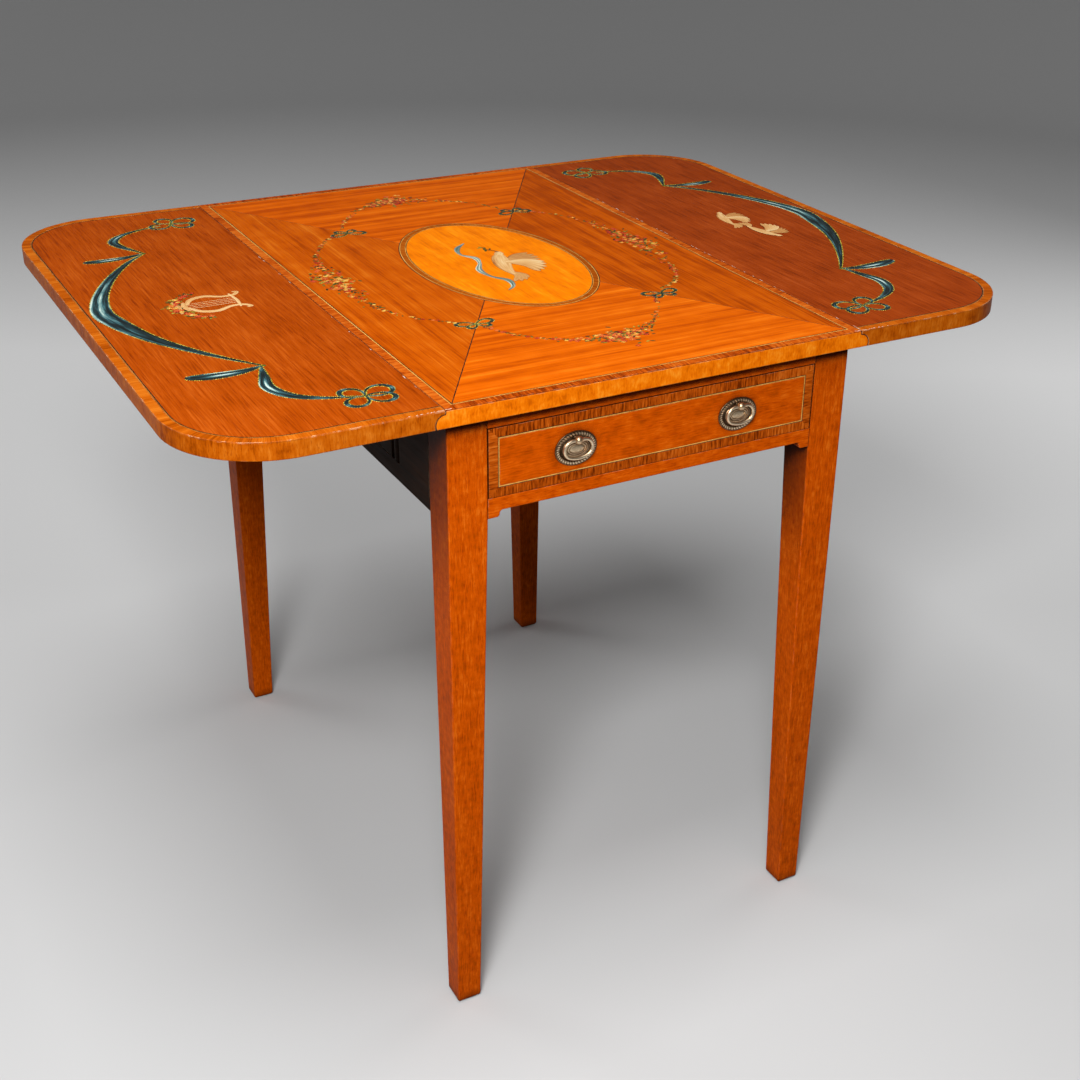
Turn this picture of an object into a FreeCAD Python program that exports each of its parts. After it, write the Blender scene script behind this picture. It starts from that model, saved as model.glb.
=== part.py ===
import FreeCAD, Part
import math
import os

Vector = FreeCAD.Vector

# Whole table: X runs across the leaves, Y from the drawer end to the far end, Z up from the floor
table_height = 720.0
frame_width = 461.0
frame_length = 720.0
rail_height = 108.0
top_thickness = 18.0
end_overhang = 12.0
side_overhang = 5.5
leaf_width = 234.5
leaf_corner_radius = 100.0

# Fits shared by the whole table
part_clearance = 0.3
running_clearance = 0.05
cut_overrun = 1.0

# Flats that stand for small rounds
bar_sides = 8
ball_sides = 10
ball_rings = 5
plate_sides = 14
bend_steps = 6
foot_steps = 3
oval_sides = 36

# Square legs, tapered on their two inner faces
leg_top_width = 42.0
leg_foot_width = 27.0
leg_arris = 1.0

# Rule joint between the fixed top and each leaf
rule_fillet = 4.0
hinge_axis_lift = 4.0

# Back-flap hinges let into the underside
hinge_length = 40.0
hinge_spacing = 250.0
hinge_plate_thickness = 2.0
hinge_barrel_radius = 2.8
hinge_pin_radius = 1.25
hinge_top_plate_reach = 30.0
hinge_leaf_plate_reach = 46.0
hinge_knuckles = 3

# Veneers, bandings and stringing lines
veneer_thickness = 1.0
edging_thickness = 1.0
crossband_width = 10.0
string_width = 1.4
oval_length = 330.0
oval_width = 198.0
oval_band_width = 6.5

# Rails and their tenons
inner_rail_thickness = 18.0
back_rail_thickness = 20.0
top_rail_thickness = 14.0
drawer_rail_thickness = 14.0
tenon_length = 20.0
tenon_thickness = 8.0
tenon_setback = 6.0
side_tenon_shoulder = 10.0
end_tenon_shoulder = 3.0
bracket_flat = 9.0
bracket_thickness = 16.0
bracket_ovolo_share = 0.45

# Wooden fly brackets, hinged on a knuckle joint cut in the outer rail
fly_rail_thickness = 20.0
fly_height = 88.0
fly_axis_inset = 124.0
fly_top_length = 150.0
fly_foot_length = 121.0
fly_tip_height = 12.0
fly_tip_sag = 3.0
fly_finger_gap = 3.0
fly_stop_gap = 0.25
fly_pin_radius = 2.5
fly_pin_depth = 12.0
fly_root = 20.0
fly_knuckles = 3

# Drawer and what carries it
drawer_opening_height = 73.0
drawer_gap = 1.0
drawer_back_gap = 60.0
drawer_front_thickness = 18.0
drawer_side_thickness = 9.0
drawer_bottom_thickness = 6.0
drawer_bottom_lift = 9.0
drawer_groove_depth = 4.0
drawer_front_lap = 6.0
front_tails = 3
back_tails = 2
tail_root_share = 0.62
tail_flare = 2.0
runner_width = 20.0
guide_height = 24.0
stop_width = 30.0
stop_depth = 10.0
stop_height = 5.0
stop_spacing = 240.0

# Oval ring handles
handle_spacing = 188.0
handle_drop = 1.5
plate_width = 46.0
plate_height = 36.0
plate_edge = 0.9
plate_rim_height = 2.4
plate_rim_slope = 1.0
plate_rim_width = 4.4
plate_floor = 1.0
plate_floor_inset = 5.4
boss_width = 26.0
boss_height = 16.0
boss_rise = 2.2
boss_crown_inset = 3.2
post_rise = 10.3
post_ball_radius = 4.4
post_standoff = 5.7
post_shank_radius = 2.0
nut_size = 9.0
nut_thickness = 3.0
bail_wire_radius = 1.7
bail_straight = 13.0
bail_side_radius = 8.9
bail_foot_radius = 26.0

# Places worked out from the sizes above
half_frame_x = frame_width / 2
half_frame_y = frame_length / 2
half_length = half_frame_y + end_overhang
half_centre = half_frame_x + side_overhang
leg_inner_x = half_frame_x - leg_top_width
leg_inner_y = half_frame_y - leg_top_width
top_underside = table_height - top_thickness
veneer_floor = table_height - veneer_thickness
rail_bottom = top_underside - rail_height
rule_radius = top_thickness - rule_fillet - hinge_axis_lift
hinge_axis_z = top_underside + hinge_axis_lift
hinge_cutback = hinge_axis_lift + part_clearance
leaf_edge_x = half_centre + leaf_width
inner_rail_face = half_frame_x - fly_rail_thickness
inner_rail_inside = inner_rail_face - inner_rail_thickness
opening_top = top_underside - top_rail_thickness
opening_bottom = opening_top - drawer_opening_height
drawer_rail_bottom = opening_bottom - drawer_rail_thickness
drawer_half_width = leg_inner_x - drawer_gap
drawer_rear = half_frame_y - back_rail_thickness - drawer_back_gap
drawer_top = opening_top - drawer_gap
drawer_bottom_edge = opening_bottom + part_clearance
drawer_back_floor = drawer_bottom_edge + drawer_bottom_lift + drawer_bottom_thickness
fly_axis_x = half_frame_x - fly_rail_thickness / 2
fly_axis_y = half_frame_y - fly_axis_inset
fly_half = fly_rail_thickness / 2 - part_clearance
fly_floor = top_underside - fly_height
hinge_places = (-hinge_spacing, 0, hinge_spacing)
sides = (("left", -1), ("right", 1))
ends = (("front", -1), ("back", 1))

parts = {}


def box(x0, x1, y0, y1, z0, z1):
    """A block between two corners, given in any order."""
    low = Vector(min(x0, x1), min(y0, y1), min(z0, z1))
    return Part.makeBox(abs(x1 - x0), abs(y1 - y0), abs(z1 - z0), low)


def cylinder_along(axis, start, radius, length):
    """A round bar from start along an axis direction."""
    return Part.makeCylinder(radius, length, start, axis)


def fused(shapes):
    """One solid out of touching shapes, with the seams between them removed."""
    whole = shapes[0].fuse(list(shapes[1:])) if len(shapes) > 1 else shapes[0]
    return whole.removeSplitter()


def closed_face(points):
    """A flat face with straight edges through the points."""
    return Part.Face(Part.makePolygon(list(points) + [points[0]]))


def face_of(edges):
    """A flat face bounded by edges that follow each other."""
    return Part.Face(Part.Wire([edge.toShape() for edge in edges]))


def line(start, end):
    return Part.LineSegment(start, end)


def arc(start, middle, end):
    return Part.Arc(start, middle, end)


def group(solids):
    """Separate solids kept side by side in one node."""
    return Part.makeCompound(solids)


def turns(sides):
    """Angles of the corners of a regular outline, the first half a side round."""
    return [math.tau * (index + 0.5) / sides for index in range(sides)]


def bar(axis, start, radius, length):
    """A pin with flats, its corners on the radius, along one of the table's axes."""
    across = Vector(axis.y, axis.z, axis.x)
    other = axis.cross(across)
    corners = [start + across * (radius * math.cos(turn)) + other * (radius * math.sin(turn))
               for turn in turns(bar_sides)]
    return closed_face(corners).extrude(axis * length)


def bore_about(radius):
    """Corner radius of a bore whose flats clear a turning pin."""
    return (radius + running_clearance) / math.cos(math.pi / bar_sides)


def through_rings(rings, looped):
    """Solid through rings of points, its sides in flat triangles; a loop has no ends to close."""
    faces = [] if looped else [closed_face(rings[0]), closed_face(rings[-1])]
    following = rings[1:] + rings[:1] if looped else rings[1:]
    for one, two in zip(rings, following):
        for index in range(len(one)):
            after = (index + 1) % len(one)
            faces.append(closed_face([one[index], one[after], two[after]]))
            faces.append(closed_face([one[index], two[after], two[index]]))
    shell = Part.makeShell(faces)
    shell.sewShape()
    solid = Part.makeSolid(shell)
    if solid.Volume < 0:
        solid.reverse()
    return solid.removeSplitter()


# Tenons, which the rails carry and the legs are cut for

def side_tenon(side, end):
    """Tenon of an inner side rail into one leg."""
    middle = inner_rail_face - inner_rail_thickness / 2
    return box(side * (middle - tenon_thickness / 2), side * (middle + tenon_thickness / 2),
               end * leg_inner_y, end * (leg_inner_y + tenon_length),
               rail_bottom + side_tenon_shoulder, top_underside - side_tenon_shoulder)


def end_tenon(side, end, bottom, top):
    """Tenon of a rail across the front or back into one leg."""
    outer = half_frame_y - tenon_setback
    return box(side * leg_inner_x, side * (leg_inner_x + tenon_length),
               end * (outer - tenon_thickness), end * outer,
               bottom + end_tenon_shoulder, top - end_tenon_shoulder)


def end_tenon_levels(end):
    """Lower and upper faces of each rail across one end of the frame."""
    if end < 0:
        return ((opening_top, top_underside), (drawer_rail_bottom, opening_bottom))
    return ((drawer_rail_bottom, top_underside),)


# Frame

def leg(side, end):
    """Square above the rails' lower edge, then tapered on the inner faces down to the foot."""
    def square(width, inset, height):
        x_out, y_out = half_frame_x - inset, half_frame_y - inset
        x_in, y_in = half_frame_x - width + inset, half_frame_y - width + inset
        return [Vector(side * x, end * y, height)
                for x, y in ((x_out, y_out), (x_in, y_out), (x_in, y_in), (x_out, y_in))]
    solid = through_rings([square(leg_foot_width, leg_arris, 0), square(leg_foot_width, 0, leg_arris),
                           square(leg_top_width, 0, rail_bottom),
                           square(leg_top_width, 0, top_underside)], False)
    mortises = [side_tenon(side, end)]
    mortises += [end_tenon(side, end, low, high) for low, high in end_tenon_levels(end)]
    return solid.cut(mortises)


def bracket(side, end):
    """Shaped block in the corner of rail and leg: a flat foot, an ovolo and a cove."""
    drop = drawer_rail_bottom - rail_bottom
    ovolo = drop * bracket_ovolo_share
    cove = drop - ovolo
    diagonal = math.sqrt(0.5)
    face_y = end * half_frame_y

    def at(inward, down):
        return Vector(side * (leg_inner_x - inward), face_y, drawer_rail_bottom - down)
    width = bracket_flat + drop
    edges = [
        line(at(0, 0), at(0, drop)),
        line(at(0, drop), at(bracket_flat, drop)),
        arc(at(bracket_flat, drop),
            at(bracket_flat + ovolo * diagonal, drop - ovolo + ovolo * diagonal),
            at(bracket_flat + ovolo, drop - ovolo)),
        arc(at(bracket_flat + ovolo, drop - ovolo),
            at(width - cove * diagonal, cove - cove * diagonal),
            at(width, 0)),
        line(at(width, 0), at(0, 0)),
    ]
    return face_of(edges).extrude(Vector(0, -end * bracket_thickness, 0))


def front_top_rail():
    rail = box(-leg_inner_x, leg_inner_x, -half_frame_y, -leg_inner_y, opening_top, top_underside)
    tenons = [end_tenon(side, -1, opening_top, top_underside) for _, side in sides]
    return fused([rail] + tenons)


def front_drawer_rail():
    rail = box(-leg_inner_x, leg_inner_x, -half_frame_y, -leg_inner_y,
               drawer_rail_bottom, opening_bottom)
    tenons = [end_tenon(side, -1, drawer_rail_bottom, opening_bottom) for _, side in sides]
    return fused([rail] + tenons + [bracket(side, -1) for _, side in sides])


def back_rail():
    """One deep board, lined out on its face as a drawer front."""
    rail = box(-leg_inner_x, leg_inner_x, half_frame_y - back_rail_thickness, half_frame_y,
               drawer_rail_bottom, top_underside)
    tenons = [end_tenon(side, 1, drawer_rail_bottom, top_underside) for _, side in sides]
    solid = fused([rail] + tenons + [bracket(side, 1) for _, side in sides])
    line_out = frame_ring(1, -drawer_gap, 0)
    return solid.cut([line_out, frame_ring(1, 0, crossband_width + string_width)] + shank_holes(1))


def inner_rail(side):
    rail = box(side * inner_rail_inside, side * inner_rail_face, -leg_inner_y, leg_inner_y,
               rail_bottom, top_underside)
    return fused([rail] + [side_tenon(side, end) for _, end in ends])


# Fly brackets and the outer rail that they are cut from

def fly_point(side, end, across, along, height):
    """A place near a fly's pin: across is outwards, along is from the leg to the middle."""
    return Vector(side * (fly_axis_x + across), end * (fly_axis_y - along), height)


def knuckle_level(corner, body, half, bore, reach, low, high):
    """One level of a knuckle joint, mitred on its outer side so that it stops at a right angle.

    body is -1 for the rail and 1 for the fly, on either side of the pin. A level with no bore
    has a round finger about the pin, and one with a bore is hollowed for the other piece's finger.
    """
    radius = bore if bore else half
    mitre = math.pi / 4 + math.asin(fly_stop_gap / (math.sqrt(2) * radius))

    def at(across, along):
        return fly_point(*corner, across, body * along, low)
    if bore:
        start = math.asin(math.sqrt(max(radius ** 2 - half ** 2, 0)) / radius)
        turn = (start + math.pi - mitre) / 2
        first = at(-half, radius * math.sin(start))
        middle = at(-radius * math.cos(turn), radius * math.sin(turn))
    else:
        turn = (math.pi - mitre) / 2
        first = at(-half, 0)
        middle = at(radius * math.cos(turn), -radius * math.sin(turn))
    last = at(radius * math.cos(mitre), radius * math.sin(mitre))
    shoulder = at(half, half + fly_stop_gap)
    edges = [line(at(-half, reach), first), arc(first, middle, last), line(last, shoulder),
             line(shoulder, at(half, reach)), line(at(half, reach), at(-half, reach))]
    return face_of(edges).extrude(Vector(0, 0, high - low))


def tip_edges(corner, half, shift, low, high):
    """The ogee that ends a fly, from its top corner down to its foot."""
    def at(along, height):
        return fly_point(*corner, -half, along + shift, height)
    knee_z = high - fly_tip_height
    middle_z = (knee_z + low) / 2
    middle = (fly_top_length + fly_foot_length) / 2
    upper = at((fly_top_length + middle) / 2 + fly_tip_sag, (knee_z + middle_z) / 2)
    lower = at((fly_foot_length + middle) / 2 - fly_tip_sag, (low + middle_z) / 2)
    return [line(at(fly_top_length, high), at(fly_top_length, knee_z)),
            arc(at(fly_top_length, knee_z), upper, at(middle, middle_z)),
            arc(at(middle, middle_z), lower, at(fly_foot_length, low))]


def knuckle_heights():
    step = fly_height / fly_knuckles
    return [fly_floor + step * index for index in range(fly_knuckles + 1)]


def fly_bore(side, end, radius):
    start = fly_point(side, end, 0, 0, fly_floor - fly_pin_depth)
    return bar(Vector(0, 0, 1), start, radius, fly_height + fly_pin_depth)


def fly_rail(side):
    """Outer rail: a full-length strip, a middle block and a knuckled block at each leg."""
    half = fly_rail_thickness / 2
    reach = leg_inner_y - fly_axis_y
    heights = knuckle_heights()
    strip = box(side * inner_rail_face, side * half_frame_x, -leg_inner_y, leg_inner_y,
                rail_bottom, fly_floor)
    pieces = [strip]
    block_edges = []
    for _, end in ends:
        corner = (side, end)
        for index in range(fly_knuckles):
            bore = fly_half + part_clearance if index % 2 else 0
            pieces.append(knuckle_level(corner, -1, half, bore, reach,
                                        heights[index], heights[index + 1]))
        block_edges.append(tip_edges(corner, half, fly_finger_gap, fly_floor, top_underside))
    front, back = block_edges
    outline = front + [line(front[-1].EndPoint, back[-1].EndPoint)] + back
    outline.append(line(back[0].StartPoint, front[0].StartPoint))
    ordered = Part.Wire(Part.__sortEdges__([edge.toShape() for edge in outline]))
    pieces.append(Part.Face(ordered).extrude(Vector(side * fly_rail_thickness, 0, 0)))
    return fused(pieces).cut([fly_bore(side, end, fly_pin_radius) for _, end in ends])


def fly(side, end):
    """A bracket with fingers between those of the rail, and an ogee end."""
    corner = (side, end)
    heights = knuckle_heights()
    low = fly_floor + part_clearance
    high = top_underside - part_clearance
    pieces = []
    for index in range(fly_knuckles):
        finger = index % 2 == 1
        bottom = heights[index] + (part_clearance if finger or index == 0 else -part_clearance)
        top = heights[index + 1] + (-part_clearance if finger or index == fly_knuckles - 1
                                    else part_clearance)
        bore = 0 if finger else fly_rail_thickness / 2 + part_clearance
        pieces.append(knuckle_level(corner, 1, fly_half, bore, fly_root, bottom, top))
    tip = tip_edges(corner, fly_half, 0, low, high)

    def at(along, height):
        return fly_point(side, end, -fly_half, along, height)
    outline = tip + [line(tip[-1].EndPoint, at(fly_root, low)),
                     line(at(fly_root, low), at(fly_root, high)),
                     line(at(fly_root, high), tip[0].StartPoint)]
    pieces.append(face_of(outline).extrude(Vector(side * fly_half * 2, 0, 0)))
    return fused(pieces).cut(fly_bore(side, end, bore_about(fly_pin_radius)))


def fly_pins():
    return group([fly_bore(side, end, fly_pin_radius) for _, side in sides for _, end in ends])


# Drawer supports

def runner(side):
    """An L-section strip: the drawer side slides on its foot and along its guide."""
    foot = box(side * (inner_rail_inside - runner_width), side * inner_rail_inside,
               -leg_inner_y, leg_inner_y, drawer_rail_bottom, opening_bottom)
    guide = box(side * leg_inner_x, side * inner_rail_inside, -leg_inner_y, leg_inner_y,
                drawer_rail_bottom, opening_bottom + guide_height)
    return fused([foot, guide])


def kickers():
    """Strips above the drawer sides, which stop the open drawer tipping."""
    strips = []
    for _, side in sides:
        strips.append(box(side * (inner_rail_inside - runner_width), side * inner_rail_inside,
                          -leg_inner_y, leg_inner_y, opening_top, top_underside))
    return group(strips)


def drawer_stops():
    front = -half_frame_y + drawer_front_thickness + part_clearance
    return group([box(side * (stop_spacing - stop_width) / 2, side * (stop_spacing + stop_width) / 2,
                      front, front + stop_depth, opening_bottom, opening_bottom + stop_height)
                  for _, side in sides])


# Fixed top

def top_section(upper):
    """Section of the fixed top: an ovolo under a square fillet along each leaf."""
    drop = math.asin(hinge_axis_lift / rule_radius)
    turn = (math.pi / 2 - drop) / 2

    def at(side, angle):
        return Vector(side * (half_centre + rule_radius * math.cos(angle)), 0,
                      hinge_axis_z + rule_radius * math.sin(angle))
    left = [at(-1, angle) for angle in (math.pi / 2, turn, -drop)]
    right = [at(1, angle) for angle in (math.pi / 2, turn, -drop)]
    upper_left = Vector(-half_centre, 0, upper)
    upper_right = Vector(half_centre, 0, upper)
    return face_of([line(upper_left, upper_right), line(upper_right, right[0]), arc(*right),
                    line(right[2], left[2]), arc(*reversed(left)), line(left[0], upper_left)])


def top_board():
    reach = half_length - edging_thickness
    solid = top_section(veneer_floor).extrude(Vector(0, 2 * reach, 0))
    solid.translate(Vector(0, -reach, 0))
    return solid.cut(hinge_housings())


def top_edging():
    """Cross-grained edge strips on the two ends of the fixed top."""
    strips = []
    for _, end in ends:
        strip = top_section(veneer_floor).extrude(Vector(0, end * edging_thickness, 0))
        strip.translate(Vector(0, end * (half_length - edging_thickness), 0))
        strips.append(strip)
    return strips


def rectangle(inset):
    """Corners of the fixed top's face, brought in on all sides."""
    x, y = half_centre - inset, half_length - inset
    return [Vector(-x, -y, veneer_floor), Vector(x, -y, veneer_floor),
            Vector(x, y, veneer_floor), Vector(-x, y, veneer_floor)]


def raised(face):
    return face.extrude(Vector(0, 0, veneer_thickness))


def top_crossband():
    """Four mitred strips round the fixed top."""
    outer, inner = rectangle(0), rectangle(crossband_width)
    strips = []
    for index in range(len(outer)):
        after = (index + 1) % len(outer)
        strips.append(raised(closed_face([outer[index], outer[after], inner[after], inner[index]])))
    return strips


def oval(inset):
    """Disc of the oval panel, brought in all round: x = a cos t, y = b sin t."""
    across, along = oval_width / 2 - inset, oval_length / 2 - inset
    return raised(closed_face([Vector(across * math.cos(turn), along * math.sin(turn), veneer_floor)
                               for turn in turns(oval_sides)]))


def top_stringing():
    outer = raised(closed_face(rectangle(crossband_width)))
    return outer.cut(raised(closed_face(rectangle(crossband_width + string_width))))


def quarter_veneer(first, second):
    """One of the four sheets that meet on the diagonals, with its share of the oval cut away."""
    centre = Vector(0, 0, veneer_floor)
    return raised(closed_face([first, second, centre])).cut(oval(0))


def oval_rings():
    """Outer stringing, band and inner stringing round the oval, then the oval itself."""
    steps = (0, string_width, string_width + oval_band_width, 2 * string_width + oval_band_width)
    discs = [oval(step) for step in steps]
    rings = [discs[index].cut(discs[index + 1]) for index in range(len(discs) - 1)]
    return rings + [discs[-1]]


# Hinges

def hinge_box(side, place, across, height, margin):
    """A block at one hinge: across and height are measured from the pin."""
    half = hinge_length / 2 + margin
    return box(side * (half_centre + across[0]), side * (half_centre + across[1]),
               place - half, place + half, hinge_axis_z + height[0], hinge_axis_z + height[1])


def plate_level():
    return (-hinge_axis_lift, hinge_plate_thickness - hinge_axis_lift)


def hinge_housings():
    """Room under the fixed top for the plates, the barrel and the turning leaf plate."""
    tools = []
    barrel_top = hinge_barrel_radius + part_clearance
    passage_top = plate_level()[1] + part_clearance
    for _, side in sides:
        for place in hinge_places:
            tools.append(hinge_box(side, place, (-hinge_top_plate_reach, -hinge_cutback),
                                   plate_level(), 0))
            tools.append(hinge_box(side, place, (-hinge_cutback, hinge_cutback),
                                   (-hinge_axis_lift, barrel_top), part_clearance))
            tools.append(hinge_box(side, place, (0, rule_radius + cut_overrun),
                                   (-hinge_axis_lift, passage_top), part_clearance))
    return tools


def hinge_plate(side, place, leaf):
    """A plate with its knuckles, the fixed top's outside the leaf's."""
    reach = hinge_leaf_plate_reach if leaf else -hinge_top_plate_reach
    edge = hinge_cutback if leaf else -hinge_cutback
    end_gap = part_clearance / 2 if leaf else 0
    bore = bore_about(hinge_pin_radius) if leaf else hinge_pin_radius
    pieces = [hinge_box(side, place, (edge, reach), plate_level(), 0)]
    step = hinge_length / hinge_knuckles
    low, high = (hinge_axis_z + level for level in plate_level())
    along = Vector(0, 1, 0)
    for index in range(1 if leaf else 0, hinge_knuckles, 2):
        start = place - hinge_length / 2 + step * index + end_gap
        end = start + step - 2 * end_gap
        pieces.append(box(side * half_centre, side * (half_centre + edge), start, end, low, high))
        pieces.append(bar(along, Vector(side * half_centre, start, hinge_axis_z),
                          hinge_barrel_radius, end - start))
    return fused(pieces).cut(hinge_pin(side, place, bore))


def hinge_pin(side, place, radius):
    start = Vector(side * half_centre, place - hinge_length / 2, hinge_axis_z)
    return bar(Vector(0, 1, 0), start, radius, hinge_length)


def hinge_plates(side, leaf):
    return [hinge_plate(side, place, leaf) for place in hinge_places]


# Leaves

def leaf_outline(side, inset, low, high):
    """Slab of a leaf's outline, brought in on its three free sides."""
    near = half_centre + part_clearance
    far = leaf_edge_x - inset
    end = half_length - inset
    bend = leaf_corner_radius - inset
    diagonal = bend * (1 - math.sqrt(0.5))

    def at(x, y):
        return Vector(side * x, y, low)
    edges = [line(at(near, -end), at(far - bend, -end)),
             arc(at(far - bend, -end), at(far - diagonal, diagonal - end), at(far, bend - end)),
             line(at(far, bend - end), at(far, end - bend)),
             arc(at(far, end - bend), at(far - diagonal, end - diagonal), at(far - bend, end)),
             line(at(far - bend, end), at(near, end)),
             line(at(near, end), at(near, -end))]
    return face_of(edges).extrude(Vector(0, 0, high - low))


def leaf_cove(side):
    """Hollow along a leaf's inner edge that runs over the fixed top's ovolo."""
    radius = rule_radius + part_clearance
    start = Vector(side * half_centre, -half_length - cut_overrun, hinge_axis_z)
    length = 2 * (half_length + cut_overrun)
    hollow = cylinder_along(Vector(0, 1, 0), start, radius, length)
    below = box(side * half_centre, side * (half_centre + radius),
                -half_length - cut_overrun, half_length + cut_overrun,
                top_underside - cut_overrun, hinge_axis_z)
    return fused([hollow, below])


def leaf_board(side):
    slab = leaf_outline(side, edging_thickness, top_underside, table_height)
    inlay_width = crossband_width + string_width
    inlay = leaf_outline(side, 0, veneer_floor, table_height).cut(
        leaf_outline(side, inlay_width, veneer_floor, table_height))
    recesses = [hinge_box(side, place, (0, hinge_leaf_plate_reach), plate_level(), 0)
                for place in hinge_places]
    return slab.cut([leaf_cove(side), inlay] + recesses)


def leaf_ring(side, outer, inner, low, high):
    ring = leaf_outline(side, outer, low, high).cut(leaf_outline(side, inner, low, high))
    return ring.cut(leaf_cove(side)).Solids[0]


def leaf_banding(side):
    """Crossband on the face and cross-grained edging, round three sides."""
    return group([leaf_ring(side, 0, crossband_width, veneer_floor, table_height),
                  leaf_ring(side, 0, edging_thickness, top_underside, veneer_floor)])


def leaf_stringing(side):
    return leaf_ring(side, crossband_width, crossband_width + string_width,
                     veneer_floor, table_height)


# Drawer

def frame_ring(end, outer, inner):
    """Rectangular line let into a drawer face, between two distances from its edge."""
    face = end * half_frame_y

    def slab(inset):
        return box(inset - drawer_half_width, drawer_half_width - inset,
                   face - end * veneer_thickness, face,
                   drawer_bottom_edge + inset, drawer_top - inset)
    return slab(outer).cut(slab(inner))


def drawer_bottom():
    wide = drawer_half_width - drawer_side_thickness + drawer_groove_depth
    front = -half_frame_y + drawer_front_thickness - drawer_groove_depth
    low = drawer_bottom_edge + drawer_bottom_lift
    return box(-wide, wide, front, drawer_rear, low, low + drawer_bottom_thickness)


def dovetails(side, count, bottom, root, tip):
    """Tails on one end of a drawer side, evenly spaced up from a level and flared from root to tip."""
    inner = side * (drawer_half_width - drawer_side_thickness)
    pitch = (drawer_top - bottom) / count
    narrow = pitch * tail_root_share / 2
    broad = narrow + tail_flare
    tails = []
    for index in range(count):
        middle = bottom + pitch * (index + 0.5)
        corners = ((root, -narrow), (root, narrow), (tip, broad), (tip, -broad))
        face = closed_face([Vector(inner, along, middle + rise) for along, rise in corners])
        tails.append(face.extrude(Vector(side * drawer_side_thickness, 0, 0)))
    return tails


def back_dovetails(side):
    """Tails that run right through the back, above the drawer bottom."""
    return dovetails(side, back_tails, drawer_back_floor, drawer_rear - drawer_side_thickness, drawer_rear)


def drawer_side(side):
    """Board with lapped dovetails into the front and through dovetails at the back."""
    inner = drawer_half_width - drawer_side_thickness
    root = drawer_front_thickness - half_frame_y
    board = box(side * inner, side * drawer_half_width, root, drawer_rear - drawer_side_thickness,
                drawer_bottom_edge, drawer_top)
    foot = box(side * inner, side * drawer_half_width, drawer_rear - drawer_side_thickness, drawer_rear,
               drawer_bottom_edge, drawer_back_floor)
    tails = dovetails(side, front_tails, drawer_bottom_edge, root, drawer_front_lap - half_frame_y)
    return fused([board, foot] + tails + back_dovetails(side)).cut(drawer_bottom())


def drawer_front():
    board = box(-drawer_half_width, drawer_half_width, -half_frame_y,
                drawer_front_thickness - half_frame_y, drawer_bottom_edge, drawer_top)
    tools = [drawer_side(side) for _, side in sides]
    tools += [drawer_bottom(), frame_ring(-1, 0, crossband_width + string_width)]
    return board.cut(tools + shank_holes(-1))


def drawer_back():
    """Board above the drawer bottom, its ends cut to pins between the sides' tails."""
    board = box(-drawer_half_width, drawer_half_width, drawer_rear - drawer_side_thickness, drawer_rear,
                drawer_back_floor, drawer_top)
    return board.cut([tail for _, side in sides for tail in back_dovetails(side)])


# Oval ring handles, two on the drawer and two on the far end

def handle_point(side, end, along, rise, out):
    """A place on a handle: along and rise from its middle, out from the drawer face."""
    middle_z = (drawer_bottom_edge + drawer_top) / 2 - handle_drop
    return Vector(side * handle_spacing / 2 + along, end * (half_frame_y + out), middle_z + rise)


def handle_plate(side, end):
    """Stamped oval plate: a raised rim, a dished floor and a crowned boss."""
    half_plate = (plate_width / 2, plate_height / 2)
    half_boss = (boss_width / 2, boss_height / 2)
    steps = ((half_plate, 0, 0), (half_plate, 0, plate_edge),
             (half_plate, plate_rim_slope, plate_rim_height),
             (half_plate, plate_rim_width, plate_rim_height),
             (half_plate, plate_floor_inset, plate_floor),
             (half_boss, 0, plate_floor), (half_boss, boss_crown_inset, plate_floor + boss_rise))
    rings = [[handle_point(side, end, (half[0] - inset) * math.cos(turn),
                           (half[1] - inset) * math.sin(turn), out) for turn in turns(plate_sides)]
             for half, inset, out in steps]
    return through_rings(rings, False).cut(shank(side, end))


def shank(side, end):
    """Threaded tail of a handle's post, through the plate and the board to its nut."""
    depth = drawer_front_thickness if end < 0 else back_rail_thickness
    start = handle_point(side, end, 0, post_rise, -depth - nut_thickness)
    return bar(Vector(0, end, 0), start, post_shank_radius, depth + nut_thickness + post_standoff)


def shank_holes(end):
    return [shank(side, end) for _, side in sides]


def handle_post(side, end):
    """Ball on a shank, drilled across for the ring."""
    rings = []
    for level in range(ball_rings):
        tilt = math.pi * (level + 0.5) / ball_rings
        wide = post_ball_radius * math.sin(tilt)
        out = post_standoff - post_ball_radius * math.cos(tilt)
        rings.append([handle_point(side, end, wide * math.cos(turn), post_rise + wide * math.sin(turn),
                                   out) for turn in turns(ball_sides)])
    ball = through_rings(rings, False)
    hole_start = handle_point(side, end, -post_ball_radius - cut_overrun, post_rise, post_standoff)
    hole = bar(Vector(1, 0, 0), hole_start, bore_about(bail_wire_radius),
               2 * (post_ball_radius + cut_overrun))
    return fused([ball, shank(side, end)]).cut(hole)


def handle_nut(side, end):
    depth = drawer_front_thickness if end < 0 else back_rail_thickness
    low = handle_point(side, end, -nut_size / 2, post_rise - nut_size / 2, -depth - nut_thickness)
    high = handle_point(side, end, nut_size / 2, post_rise + nut_size / 2, -depth)
    return box(low.x, high.x, low.y, high.y, low.z, high.z).cut(shank(side, end))


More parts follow.
